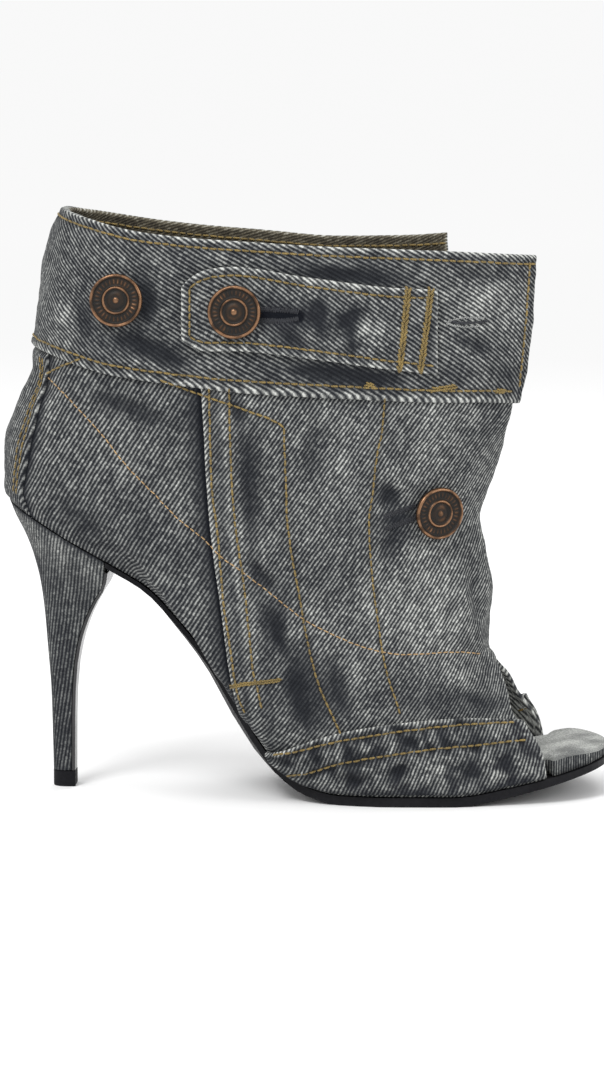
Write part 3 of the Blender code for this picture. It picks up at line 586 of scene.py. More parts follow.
def fan(start, end, level, steps):
    """Columns from start to end in theta, crowded at both ends so that an edge can be rounded there. Also how
    far each column lies from start, and the whole length."""
    share = np.linspace(0, 1, 13)
    path = shell(start[:, None] * (1 - share) + end[:, None] * share, level[:, None])
    length = np.linalg.norm(np.diff(path, axis=1), axis=-1).sum(1)[:, None]
    close = NEAR_EDGE / np.maximum(length, 4.5)
    middle = close[:, -1:] + (1 - 2 * close[:, -1:]) * np.linspace(0, 1, steps + 1)[None, 1:-1]
    share = np.concatenate([close, middle, 1 - close[:, ::-1]], 1)
    return start[:, None] * (1 - share) + end[:, None] * share, share * length, length


# Meshes
def grid_faces(rows, columns, first=0, closed=False):
    i, j = np.meshgrid(np.arange(rows - 1), np.arange(columns - (0 if closed else 1)), indexing="ij")
    k = (j + 1) % columns
    quads = np.stack([i * columns + j, (i + 1) * columns + j, (i + 1) * columns + k, i * columns + k], -1)
    return quads.reshape(-1, 4) + first


def slab_faces(rows, columns):
    """The faces of a slab between two grids, its own rim included."""
    count = rows * columns
    rim = [(0, j) for j in range(columns)]
    rim += [(i, columns - 1) for i in range(1, rows)]
    rim += [(rows - 1, j) for j in range(columns - 2, -1, -1)]
    rim += [(i, 0) for i in range(rows - 2, 0, -1)]
    rim = np.array([i * columns + j for i, j in rim])
    after = np.roll(rim, -1)
    side = np.stack([rim, after, after + count, rim + count], 1)
    over = grid_faces(rows, columns)
    return over, np.concatenate([grid_faces(rows, columns, count)[:, ::-1], side])


def make_mesh(name, points, faces, materials):
    """A mesh from points in millimetres, smooth shaded."""
    mesh = bpy.data.meshes.new(name)
    mesh.from_pydata((points.reshape(-1, 3) * MM).tolist(), [], [list(f) for f in faces])
    mesh.polygons.foreach_set("use_smooth", np.ones(len(mesh.polygons), bool))
    for made in materials:
        mesh.materials.append(made)
    return mesh


def add_piece(name, points, faces, materials, uv=None, wear_and_shading=None, kinds=None, stands_for=()):
    """One piece that rides on the shoe. kinds tells each face which of the materials it takes."""
    mesh = make_mesh(name, points, faces, materials)
    corners = np.empty(len(mesh.loops), int)
    mesh.loops.foreach_get("vertex_index", corners)
    if uv is not None:
        layer = mesh.uv_layers.new(name="weave")
        layer.data.foreach_set("uv", uv.reshape(-1, 2)[corners].astype(np.float32).ravel())
    if wear_and_shading is not None:
        layer = mesh.attributes.new("wear_and_shading", "FLOAT_COLOR", "POINT")
        layer.data.foreach_set("color", np.clip(wear_and_shading, 0, 1).astype(np.float32).ravel())
    if kinds is not None:
        mesh.polygons.foreach_set("material_index", np.asarray(kinds, np.int32))
    work = bmesh.new()
    work.from_mesh(mesh)
    bmesh.ops.recalc_face_normals(work, faces=work.faces[:])
    work.to_mesh(mesh)
    work.free()
    piece = bpy.data.objects.new(name, mesh)
    bpy.context.scene.collection.objects.link(piece)
    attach(piece, "root")
    if stands_for:
        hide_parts(*stands_for)
    return piece


def add_slab(name, over, under, uv, wear_and_shading, wear_and_shading_under, materials, lining, node):
    """A sheet between two grids of points, in place of a CAD node. lining is the kind of each face underneath."""
    faces, others = slab_faces(*over.shape[:2])
    kinds = np.zeros(len(faces) + len(others))
    kinds[len(faces):2 * len(faces)] = np.ravel(lining)
    return add_piece(name, np.stack([over, under]), np.concatenate([faces, others]), materials,
                     np.stack([uv, uv]), np.stack([wear_and_shading, wear_and_shading_under]), kinds, (node,))


def add_tube(name, rings, uv, wear_and_shading, materials, kinds, node):
    """A closed tube through rings of points, in place of a CAD node. kinds is the kind of each face in a ring."""
    rows, columns = rings.shape[:2]
    faces = grid_faces(rows, columns, closed=True).tolist()
    faces += [list(range(columns)), list(range((rows - 1) * columns, rows * columns))[::-1]]
    kinds = np.concatenate([np.broadcast_to(kinds, (rows - 1, columns)).ravel(), [0, 0]])
    return add_piece(name, rings, faces, materials, uv, wear_and_shading, kinds, (node,))


def wear_and_shading_of(tone, wear_and_highlight=0.0, dark=0.0, gap=0.0):
    """The vertex colour that the denim reads. Red pales it: wear, painted highlights and pale wash blotches. Green
    darkens
    it: painted shade and shadow, and dark wash blotches. Blue covers it with a painted shadow in a gap between
    layers.
    """
    tone, wear_and_highlight, dark, gap = np.broadcast_arrays(tone, wear_and_highlight, dark, gap)
    red = np.clip(tone, 0, 1) + wear_and_highlight
    green = np.clip(-tone, 0, 1) + dark
    return np.stack([red, green, gap, np.ones(tone.shape)], -1)


# The ribs that the materials draw, and each panel's own ones: slope in degrees and pitch.
RIB_PITCH = 1.4
QUARTER_RIBS, FRONT_RIBS, STAY_RIBS = (57, 1.41), (54, 1.27), (66, 1.30)
BAND_RIBS, TAB_RIBS, CUFF_RIBS, HEEL_RIBS = (-32, 1.35), (-34, 1.40), (64, 1.22), (81, 1.30)


def weave(across, up, ribs):
    """UV in mm with U across the twill's ribs. Their slope is as seen from the outer side, in degrees."""
    slope, pitch = ribs
    turn, scale = math.radians(slope), RIB_PITCH / pitch
    u = up * math.cos(turn) - across * math.sin(turn)
    v = across * math.cos(turn) + up * math.sin(turn)
    return np.stack(np.broadcast_arrays(u * scale, v * scale), -1)


# Materials
class Value:
    """What one socket of a node gives. Sums, products and the like of values are Math nodes."""

    def __init__(self, shader, socket):
        self.shader, self.socket = shader, socket

    def __add__(self, other):
        return self.shader.math("ADD", self, other)

    def __sub__(self, other):
        return self.shader.math("SUBTRACT", self, other)

    def __rsub__(self, other):
        return self.shader.math("SUBTRACT", other, self)

    def __mul__(self, other):
        return self.shader.math("MULTIPLY", self, other)

    def __truediv__(self, other):
        return self.shader.math("DIVIDE", self, other)


class Shader:
    """Short ways to add nodes to one material."""

    def __init__(self, name):
        self.made = bpy.data.materials.new(name)
        self.made.use_nodes = True
        self.tree = self.made.node_tree
        self.main = self.tree.nodes["Principled BSDF"]
        self.place = self.add("TexCoord")["Object"]

    def put(self, value, socket):
        if isinstance(value, Value):
            self.tree.links.new(value.socket, socket)
        else:
            socket.default_value = value

    def add(self, kind, inputs=(), **settings):
        """A node, with its first inputs or its named ones filled. Gives its outputs by name and by number."""
        made = self.tree.nodes.new("ShaderNode" + kind)
        for key, value in settings.items():
            setattr(made, key, value)
        for key, value in inputs.items() if isinstance(inputs, dict) else enumerate(inputs):
            self.put(value, made.inputs[key])
        outputs = {socket.name: Value(self, socket) for socket in made.outputs}
        outputs.update({number: Value(self, socket) for number, socket in enumerate(made.outputs)})
        return outputs

    def math(self, operation, a, b=0.0, c=0.0):
        return self.add("Math", (a, b, c), operation=operation)[0]

    def noise(self, scale, detail=2.0, rough=0.5, where=None):
        where = self.place if where is None else where
        settings = {"Vector": where, "Scale": scale, "Detail": detail, "Roughness": rough}
        return self.add("TexNoise", settings)["Fac"]

    def vector(self, x, y):
        return self.add("CombineXYZ", (x, y))[0]

    def weave(self):
        """The UV map, in millimetres across and along the ribs."""
        uv = self.add("SeparateXYZ", (self.add("UVMap", uv_map="weave")[0],))
        return uv[0], uv[1]

    def wear_and_shading(self):
        """The vertex colour's red, green and blue: paling for wear and painted highlights, darkening for painted
        shade and shadow, and a painted shadow in a gap.
        """
        channels = self.add("SeparateColor", (self.add("Attribute", attribute_name="wear_and_shading")["Color"],))
        return channels[0], channels[1], channels[2]

    def ramp(self, value, *stops):
        made = self.tree.nodes.new("ShaderNodeValToRGB")
        self.put(value, made.inputs[0])
        for element, (position, colour) in zip(made.color_ramp.elements, (stops[0], stops[-1])):
            element.position, element.color = position, (*colour, 1)
        for position, colour in stops[1:-1]:
            made.color_ramp.elements.new(position).color = (*colour, 1)
        return Value(self, made.outputs[0])

    def cover(self, share, colour, other):
        """A colour, with a plain other one over it by share."""
        made = self.tree.nodes.new("ShaderNodeMix")
        made.data_type = "RGBA"
        for value, socket in ((share, 0), (colour, 6), ((*other, 1), 7)):
            self.put(value, made.inputs[socket])
        return Value(self, made.outputs[2])

    def bump(self, height, strength, distance):
        made = self.add("Bump", {"Strength": strength, "Distance": distance, "Height": height})
        self.put(made[0], self.main.inputs["Normal"])

    def finish(self, colour, roughness, metallic=0.0, **others):
        self.put(colour, self.main.inputs["Base Color"])
        self.put(roughness, self.main.inputs["Roughness"])
        self.put(metallic, self.main.inputs["Metallic"])
        for name, value in others.items():
            self.main.inputs[name.replace("_", " ")].default_value = value
        return self.made


WASHED = (
    (0.00, (0.010, 0.011, 0.014)),
    (0.25, (0.024, 0.026, 0.030)),
    (0.45, (0.066, 0.069, 0.071)),
    (0.65, (0.168, 0.173, 0.168)),
    (0.82, (0.320, 0.327, 0.312)),
    (1.00, (0.560, 0.570, 0.540)),
)
WRONG_SIDE = (
    (0.00, (0.012, 0.010, 0.008)),
    (0.30, (0.036, 0.032, 0.026)),
    (0.60, (0.105, 0.092, 0.064)),
    (0.85, (0.260, 0.250, 0.210)),
    (1.00, (0.480, 0.480, 0.450)),
)
# The painted shadow in a gap between layers
GAP_SHADOW_COLOUR = (0.006, 0.007, 0.010)


def denim(name, colours, base=0.43, rib=0.30, dash=0.26, streak=0.15, blotch=0.19, speck=0.27, dash_length=1.3):
    """Washed twill, from the UV map in millimetres and the vertex colours."""
    s = Shader(name)
    u, v = s.weave()
    wear_and_highlight, dark, gap = s.wear_and_shading()

    # Ribs that wander a little, broken along their run into short threads of different tones
    wander = s.noise(150.0) - 0.5
    shaken = s.noise(1.0, 1.0, where=s.vector(u * 0.9, v * 0.7)) - 0.5
    turns = (u + wander * 0.6 + shaken * 0.32) / RIB_PITCH
    ridge = s.math("COSINE", turns * (2 * math.pi))
    cell = s.math("FLOOR", turns + 0.5)
    run = v / dash_length + cell * 0.37
    part = s.vector(cell, s.math("FLOOR", run))
    thread = s.add("TexWhiteNoise", {"Vector": part}, noise_dimensions="2D")["Value"] - 0.5
    ends = s.math("POWER", s.math("ABSOLUTE", s.math("FRACT", run) - 0.5) * 2.0, 6.0)

    slub = s.noise(1.0, 2.0, 0.6, s.vector(u * 0.55, v * 0.09)) - 0.5
    fine = s.noise(1.0, 2.0, 0.7, s.vector(u * 2.6, v * 1.5)) - 0.5
    cloud = s.noise(55.0, 3.0, 0.55) - 0.5
    value = ridge * rib + base + thread * dash - ends * 0.12
    value = value + slub * (streak * 2) + fine * (speck * 2) + cloud * (blotch * 2)
    # Red pales the twill for wear and painted highlights, green darkens it for painted shade, and blue covers it
    # with the painted shadow of a gap between layers
    value = (value + wear_and_highlight * 0.34) * (1.0 - dark * 0.66)
    colour = s.cover(gap, s.ramp(value, *colours), GAP_SHADOW_COLOUR)
    s.bump(ridge * 0.5 + thread * 0.5 - ends * 0.5, 0.55, 0.00022)
    return s.finish(colour, 0.95, Sheen_Weight=0.03, Sheen_Roughness=0.5, Specular_IOR_Level=0.08)


def thread_material(name, dark, pale):
    s = Shader(name)
    along, turn = s.weave()
    ply = s.math("SINE", along * 11.0 + turn)
    s.bump(ply, 0.5, 0.00012)
    value = ply * 0.28 + s.noise(190.0, 3.0, 0.6)
    return s.finish(s.ramp(value, (0.15, dark), (0.85, pale)), 0.62, Sheen_Weight=0.1)


COPPER_TONES = (
    (0.05, (0.007, 0.006, 0.005)),
    (0.42, (0.024, 0.016, 0.011)),
    (0.78, (0.085, 0.046, 0.026)),
    (1.00, (0.270, 0.150, 0.085)),
)


def copper_material():
    """Antique copper: dark where it is sunk, bright where it is rubbed."""
    s = Shader("aged_copper_worn")
    rub = s.wear_and_shading()[0] + (s.noise(700.0, 4.0, 0.65) - 0.5) * 0.55
    s.bump(s.noise(1500.0), 0.12, 0.0001)
    return s.finish(s.ramp(rub, *COPPER_TONES), 0.62 - rub * 0.26, rub * 0.6 + 0.4)


def leather_material(name, dark, pale, roughness, grain, gloss=0.5):
    s = Shader(name)
    crease = s.add("TexVoronoi", {"Vector": s.place, "Scale": grain}, feature="SMOOTH_F1")["Distance"]
    s.bump(crease + s.noise(grain * 2), 0.18, 0.00012)
    tone = s.ramp(crease * 0.5 + s.noise(90.0, 3.0), (0.3, dark), (0.95, pale))
    return s.finish(tone, s.noise(60.0) * 0.16 + (roughness - 0.08), Specular_IOR_Level=gloss)


DENIM = denim("washed_denim", WASHED)
INSIDE = denim("denim_wrong_side", WRONG_SIDE, base=0.44, rib=0.16, dash=0.24, streak=0.14, blotch=0.2, speck=0.4)
HEEL_DENIM = denim("heel_denim", WASHED, base=0.34, rib=0.22, dash=0.20, streak=0.08, blotch=0.06, speck=0.30)
SOCK_DENIM = denim("sock_denim", WASHED, base=0.81, rib=0.07, dash=0.16, streak=0.05, blotch=0.05, speck=0.24,
                   dash_length=0.8)
GOLD = thread_material("gold_thread", (0.060, 0.042, 0.010), (0.300, 0.205, 0.055))
ORANGE = thread_material("orange_thread", (0.20, 0.115, 0.045), (0.56, 0.37, 0.17))
NAVY = thread_material("navy_thread", (0.003, 0.004, 0.007), (0.018, 0.020, 0.028))
PALE = thread_material("pale_thread", (0.16, 0.165, 0.165), (0.50, 0.51, 0.49))
COPPER = copper_material()
BLACK_LEATHER = leather_material("black_sole_leather", (0.003, 0.003, 0.004), (0.011, 0.011, 0.013), 0.50, 900.0,
                                 0.12)
GLOSS_LEATHER = leather_material("black_breast_leather", (0.008, 0.008, 0.009), (0.026, 0.026, 0.028), 0.24,
                                 1400.0)
RUBBER = leather_material("heel_tip_rubber", (0.003, 0.003, 0.004), (0.010, 0.010, 0.012), 0.60, 1800.0, 0.10)


# The upper
UPPER_LAP = 1 + BAND_LAP / BAND_HEIGHT
EDGE_ROLL = np.array((0.55, 0.25, 0.08))
FAR = 99.0
CUFF_RUN = 100.0

# How far rows of stitches lie from the edge beside them
BAND_ROW_INSET, TOP_ROW_INSET, INNER_ROW_INSET, TAB_ROW_INSET = 2.9, 3.0, 3.6, 3.0
STAY_ROW_INSETS = (2.2, 4.3)


def level_run(points):
    """How far each column of a grid lies from the first one, measured level."""
    step = np.diff(points[..., :2], axis=1, prepend=points[:, :1, :2])
    return np.cumsum(np.hypot(step[..., 0], step[..., 1]), axis=1)


def cloth_height(points):
    """Heights measured down along the cloth from a grid's last row, so that ribs keep their pitch where the
    cloth turns under."""
    step = np.diff(points[..., 1:], axis=0)
    below = np.cumsum(np.hypot(step[..., 0], step[..., 1])[::-1], axis=0)[::-1]
    return points[-1:, :, 2] - np.concatenate([below, 0 * points[:1, :, 2]])


def front_strip(hem, edge, x, level):
    """The front, thicker over its facing: its hem at the side seam, and its free edge. Both are paler, and two
    lines inside the hem get painted shade.
    """
    ahead = x + BALL_TO_HEEL * FACING_LINE.at("x", level)
    thick = FACING_RISE * (1 - smooth(ahead / FACING_FADE)) * lip(hem)
    shown = smooth((level - 0.03) / 0.06) * smooth((0.99 - level) / 0.04)
    rise = (thick + 0.28 * bell(hem - 1.5, 1.1)) * shown
    wear_and_highlight = 0.85 * bell(hem, 1.1) + 0.3 * bell(hem - 6.5, 2.4) + 0.6 * bell(edge, 1.3)
    dark = 0.45 * bell(hem - 4.2, 1.2) + 0.3 * bell(hem - 11.0, 1.6)
    return rise, wear_and_highlight, dark, 0 * hem, FRONT_RIBS


def quarter_strip(hem, edge, x, level):
    """The plain quarter between the facing's hem and the stay's edge, with painted shade where it dips beside them
    and a painted shadow in the gap at each.
    """
    dark = 0.8 * bell(hem, 4.5) + 0.8 * bell(edge, 4.0)
    gap = bell(hem, 1.4, 4) + bell(edge, 1.4, 4)
    return 0 * hem, 0 * hem, dark, gap, QUARTER_RIBS


def stay_strip(hem, edge, x, level):
    """The back stay: its hem, and the seam down the back, with painted shade in that seam's groove and in a line
    inside the hem.
    """
    thick = STAY_RISE * smooth(level / 0.06) * lip(hem) + 0.2 * bell(hem - 1.5, 1.0)
    rise = thick * smooth((0.99 - level) / 0.04) - 0.5 * bell(edge, 0.6)
    wear_and_highlight = 0.1 * bell(hem, 0.9) + 0.25 * bell(edge - 1.3, 0.8)
    dark = 0.7 * bell(edge, 0.7) + 0.4 * bell(hem - 3.2, 1.0)
    return rise, wear_and_highlight, dark, 0 * hem, STAY_RIBS


def upper_strips(level):
    """The strips between the feature lines: theta, what stands off and shows there, and the weave's UV."""
    facing, stay = line_theta(FACING_LINE, level), line_theta(STAY_LINE, level)
    outer, inner = theta_of(EDGES.at("outer", level)), EDGES.at("inner", level)
    inner = np.where(inner > 1, 2 - theta_of(2 - inner), theta_of(inner))
    knee = np.minimum(inner - 0.02, 1.0)
    back = np.zeros_like(level)
    facing_x, stay_x = (-BALL_TO_HEEL * line.at("x", level)[:, None] for line in (FACING_LINE, STAY_LINE))
    strips = (
        (-outer, -facing, 78, front_strip, ("edge", "hem"), facing_x),
        (-facing, -stay, 44, quarter_strip, ("hem", "edge"), facing_x),
        (-stay, back, 10, stay_strip, ("hem", "edge"), stay_x),
        (back, stay, 10, stay_strip, ("edge", "hem"), None),
        (stay, facing, 44, quarter_strip, ("edge", "hem"), -facing_x),
        (facing, knee, 74, front_strip, ("hem", ""), -facing_x),
        (knee, inner, 14, front_strip, ("", "edge"), None),
    )
    made, last = [], 0.0
    for start, end, steps, look, ends, hem_x in strips:
        theta, along, length = fan(start, end, level, steps)
        base = shell(theta, level[:, None])
        run = level_run(base)
        across = (last if hem_x is None else hem_x + run[:, -1:] * (ends[1] == "hem")) - run
        last = across[:, -1:]
        gaps = dict(zip(ends, (along, length - along)))
        hem, edge = (gaps.get(kind, np.full_like(along, FAR)) for kind in ("hem", "edge"))
        rise, wear_and_highlight, dark, gap, ribs = look(hem, edge, base[..., 0], level[:, None])
        made.append(np.dstack([theta, rise, wear_and_highlight, dark, gap, weave(across, cloth_height(base), ribs)]))
    made = np.concatenate(made, 1)
    return (*np.moveaxis(made[..., :5], -1, 0), made[..., 5:])


def make_upper():
    """The shaft's cloth, from the outer front edge round the back to the inner front's underlap."""
    level = np.concatenate([[0.0, 0.004, 0.012], np.linspace(0.022, UPPER_LAP, 104)])
    theta, rise, wear_and_highlight, dark, gap, uv = upper_strips(level)
    level = level[:, None]
    height, tone, px, py = drape(theta, level)
    # Each row sinks the cloth into a groove with painted shade in it, and raises it, paler, beside the groove
    for line in (*UPPER_ROWS, PLACKET_ROW):
        groove = line_tone(line, px, py, 3.0)
        beside = line_tone(line, px, py, 8.0) - groove
        rise = rise - 0.25 * groove + 0.14 * beside
        dark = dark + 0.3 * groove
        wear_and_highlight = wear_and_highlight + 0.10 * beside
    over = shell(theta, level, rise + height)
    under = shell(theta, level, height - WALL)
    roll = np.zeros(theta.shape[1])
    roll[:3], roll[-3:] = EDGE_ROLL, EDGE_ROLL[::-1]
    over = over + (under - over) * roll[:, None]
    # Painted light pales the lining near the toe opening's front edge, and painted shade darkens it further in;
    # where it is pale it takes the outer denim
    front = shell_x(EDGES.by_side(np.where(theta < 0, OUTER, INNER), level), level)
    shown = smooth((front - over[..., 0]) / -20.0 + 1.3) * smooth((0.4 - level) / 0.1)
    return add_slab("upper_cloth", over, under, uv, wear_and_shading_of(tone, wear_and_highlight, dark, gap),
                    wear_and_shading_of(tone * 0.4, shown, 0.35 * (1 - shown)), (DENIM, INSIDE), (shown < 0.2)[:-1, :-1],
                    "upper")


# Rows of stitches by pixel on the outer side. The inner side mirrors those of the shaft and the forefoot, without
# the placket's.
BACK_ROW = ((46, 374), (62, 366), (80, 359))
POCKET_ROW = ((160, 380), (180, 387), (209, 398), (240, 408), (281, 425), (284, 440), (286, 489), (287, 517),
              (291, 552), (300, 599), (307, 640), (318, 683), (332, 715), (341, 735))
FACING_ROW = ((209, 388), (210, 433), (212, 489), (218, 538), (223, 599), (230, 647), (237, 692), (245, 713))
FACING_INNER_ROW = ((229, 388), (230, 440), (232, 489), (236, 531), (245, 594), (252, 665), (257, 688),
                    (262, 711))
FACING_BAR = ((229, 687), (247, 684), (265, 682), (283, 680))
PLACKET_ROW = ((385, 398), (382, 430), (376, 461), (373, 493), (369, 517), (370, 552), (373, 585), (379, 629),
               (386, 670), (396, 701), (400, 714))
LONG_ROW = ((48, 377), (70, 400), (84, 415), (104, 437), (119, 457), (135, 475), (156, 496), (175, 516),
            (192, 530), (206, 541), (220, 556), (245, 574), (271, 594), (300, 617), (325, 631), (357, 645),
            (393, 654), (420, 654), (456, 652), (484, 654))
CUFF_ROW = ((273, 755), (296, 752), (322, 745), (341, 741), (379, 735), (420, 729), (463, 725), (498, 723),
            (520, 722))
CUFF_LOW_ROW = ((286, 776), (309, 773), (335, 765), (373, 758), (400, 754), (428, 750), (470, 746),
                (505, 742), (530, 740))
UPPER_ROWS = (POCKET_ROW, FACING_ROW, FACING_INNER_ROW)
BAND_END_ROW = ((530, 262), (527, 305), (523, 350), (519, 388))
BAND_FOOT_BARS = (
    ((364, 384), (371, 385), (377, 386)),
    ((430, 390), (444, 388), (458, 386)),
    ((495, 391), (501, 391), (507, 391)),
)
TOE_OPENING_ROW = ((518, 711), (526, 708), (534, 704))

# The tab's bars, and the slits and the threads of the buttonholes
TAB_BARS = (((408, 288), (404, 330), (399, 374)), ((431, 288), (426, 330), (420, 373)))
TAB_SLIT = ((250, 313), (274, 314), (298, 316))
TAB_HOLE = (((256, 309), (278, 310), (299, 312)), ((256, 320), (278, 321), (299, 319)))
PLACKET_HOLE = (((384, 517), (400, 511), (416, 506)), ((386, 529), (402, 523), (418, 517)))
BAND_SLIT = ((451, 322), (469, 323), (488, 321))
BAND_HOLE = (((447, 322), (462, 318), (484, 318)), ((447, 324), (464, 327), (480, 326)))


def half_round(low, high, count):
    """Shares from 0 to 1 across an edge and how far each stands out, for a rounded edge between two faces."""
    turn = np.linspace(0, math.pi, count)
    return low + (high - low) * (1 - np.cos(turn)) / 2, np.sin(turn) * abs(high - low) / 2


def make_band():
    """The waistband: a closed tube, whose profile runs up the outside, over the top edge and down the inside."""
    lap = 1 + (BAND_LAP + SEAM_GAP) / BAND_HEIGHT
    out, low = SEAM_GAP + BAND_THICK, SEAM_GAP
    fine = 48
    profile = [(1.0 - (bulge - 0.2) / BAND_HEIGHT, lift, 0) for lift, bulge in zip(*half_round(low, out, 7))]
    profile += [(level, out, 0) for level in np.linspace(1.008, 1.975, fine)]
    for lift, bulge in zip(*half_round(out, -WALL, 9)):
        profile.append((1.982 + bulge * 0.55 / BAND_HEIGHT, lift, lift <= -0.6))
    profile += [(level, -WALL, 1) for level in np.linspace(1.97, lap, fine * 2 // 3)]
    profile += [(lap, low, 1), (lap - 0.05, low, 1), (1.02, low, 1)]
    level, lift, inside = np.array(profile, float).T
    outer, inner = (theta_of(BAND_EDGES.at(side, level)) for side in ("outer", "inner"))
    back = np.zeros_like(level)
    steps = 128
    theta_a, along_a, length_a = fan(-outer, back, level, steps)
    theta_b, along_b, length_b = fan(back, inner, level, steps - 16)
    theta = np.concatenate([theta_a, theta_b[:, 1:]], 1)
    along = np.concatenate([along_a, length_a + along_b[:, 1:]], 1)
    end = np.minimum(along, length_a + length_b - along)
    level, lift = level[:, None], lift[:, None]

    height, tone, _, _ = drape(theta, level)
    face = (lift > out - 0.01) & (level < 1.98)
    above, below = (level - 1) * BAND_HEIGHT, (2 - level) * BAND_HEIGHT
    rows = bell(above - BAND_ROW_INSET, 0.8) + bell(below - TOP_ROW_INSET, 0.8) + bell(end - BAND_ROW_INSET, 0.8)
    pucker = bell(above, 5.0) * np.sin(along * 1.02 + 1.5 * np.sin(along * 0.31))
    pucker = pucker + 0.7 * bell(below, 5.0) * np.sin(along * 0.83 + 2.0 * np.sin(along * 0.27 + 1.0))
    relief = np.where(face, 0.14 * pucker - 0.22 * rows, 0.0)
    centre = np.where(level > lap, (out - WALL) / 2, (out + low) / 2)
    raised = centre + (lift - centre) * (0.35 + 0.65 * lip(end, 1.3)) + relief
    points = shell(theta, level, raised + height)
    wear_and_highlight = 0.55 * bell(np.maximum(above, 0), 0.7) + 0.8 * bell(np.maximum(below, 0), 0.8) + 0.7 * bell(end, 0.9)
    wear_and_highlight = wear_and_highlight + np.where(face, 0.2 * np.clip(pucker, 0, 1), 0)
    # Painted shade in the rows' grooves and the puckers' dips
    dark = np.where(face, 0.35 * rows + 0.3 * np.clip(-pucker, 0, 1), 0.0)
    looks = points, weave(-along, above, BAND_RIBS), wear_and_shading_of(tone, wear_and_highlight, dark)
    rings, uv, wear_and_shading = (values.swapaxes(0, 1) for values in looks)
    return add_tube("collar_band_cloth", rings, uv, wear_and_shading, (DENIM, INSIDE), inside, "collar_band")


def tab_place(along, up):
    """theta, level and foot height of a point on the tab, and half the tab's width there."""
    corner = np.minimum(1.0, 0.62 + 0.38 * rounded(along * TAB_LENGTH / TAB_CHAMFER, 1.6))
    middle = BAND_FOOT + BAND_HEIGHT * TAB_LINE.at("middle", along)
    half = TAB_WIDTH / 2 * TAB_LINE.at("width", along) * corner
    theta, level = locate(TAB_LENGTH * (along - 0.5) - TAB_MIDDLE_REACH, middle + half * up)
    return theta, level, SEAM_GAP * 2 + BAND_THICK + TAB_LINE.at("lift", along), half


def two_faces(theta, level, foot, thick, edge, relief, heart):
    """Both faces of a sheet on the shell, whose edges close at a share of its thickness called heart."""
    close = lip(edge, 0.9)
    over = shell(theta, level, foot + thick * (heart + (1 - heart) * close) + relief)
    return over, shell(theta, level, foot + thick * (heart - heart * close))


def make_tab():
    """The side tab, with a slit sunk round its buttonhole and its two bars pressed in. The slit is filled with a
    painted shadow.
    """
    count = 140
    along = crowded(TAB_LENGTH, np.linspace(2.4, TAB_LENGTH - 2.4, count)) / TAB_LENGTH
    up = crowded(TAB_WIDTH, TAB_WIDTH / 2 * np.linspace(0.18, 1.82, count // 4)) * 2 / TAB_WIDTH - 1
    along, up = np.meshgrid(along, up, indexing="ij")
    theta, level, foot, half = tab_place(along, up)
    height, _, px, py = drape(theta, level)
    own, tone = fold_field(TAB_FOLDS, px, py)
    run = along * TAB_LENGTH
    edge = np.minimum(np.minimum(run, TAB_LENGTH - run), (1 - np.abs(up)) * half)
    row = bell(edge - TAB_ROW_INSET, 0.8)
    pucker = bell(edge, 4.5) * np.sin(run * 1.15 + 1.8 * np.sin(run * 0.33))
    slit_gap, _, _ = near(curve(TAB_SLIT, 3.0), px, py)
    slit = bell(slit_gap, 7.0, 4)
    relief = own * smooth(edge / 2.0) * 1.7 + 0.22 * smooth((3.4 - edge) / 1.2) - 0.25 * row + 0.12 * pucker
    relief = relief - 1.1 * slit - 0.2 * sum(line_tone(bar, px, py, 4.0) for bar in TAB_BARS)
    over, under = two_faces(theta, level, foot + height, TAB_THICK, edge, relief, 0.5)
    wear_and_highlight = bell(edge, 0.85) + 0.2 * np.clip(pucker, 0, 1) + 0.15 * bell(edge - 1.8, 0.8)
    # Painted shade in the row's groove, in the puckers' dips, round the slit and on the underside, and a painted
    # shadow in the slit
    dark = 0.3 * row + 0.25 * np.clip(-pucker, 0, 1) + 0.85 * bell(slit_gap, 12.0)
    wear_and_shading = wear_and_shading_of(np.clip(tone * 1.4, -1, 1), wear_and_highlight, dark, smooth(slit * 1.5 - 0.25))
    uv = weave(run, up * half, TAB_RIBS)
    return add_slab("tab_cloth", over, under, uv, wear_and_shading, wear_and_shading_of(0.0, wear_and_highlight, 0.2), (DENIM, INSIDE), 1, "tab")


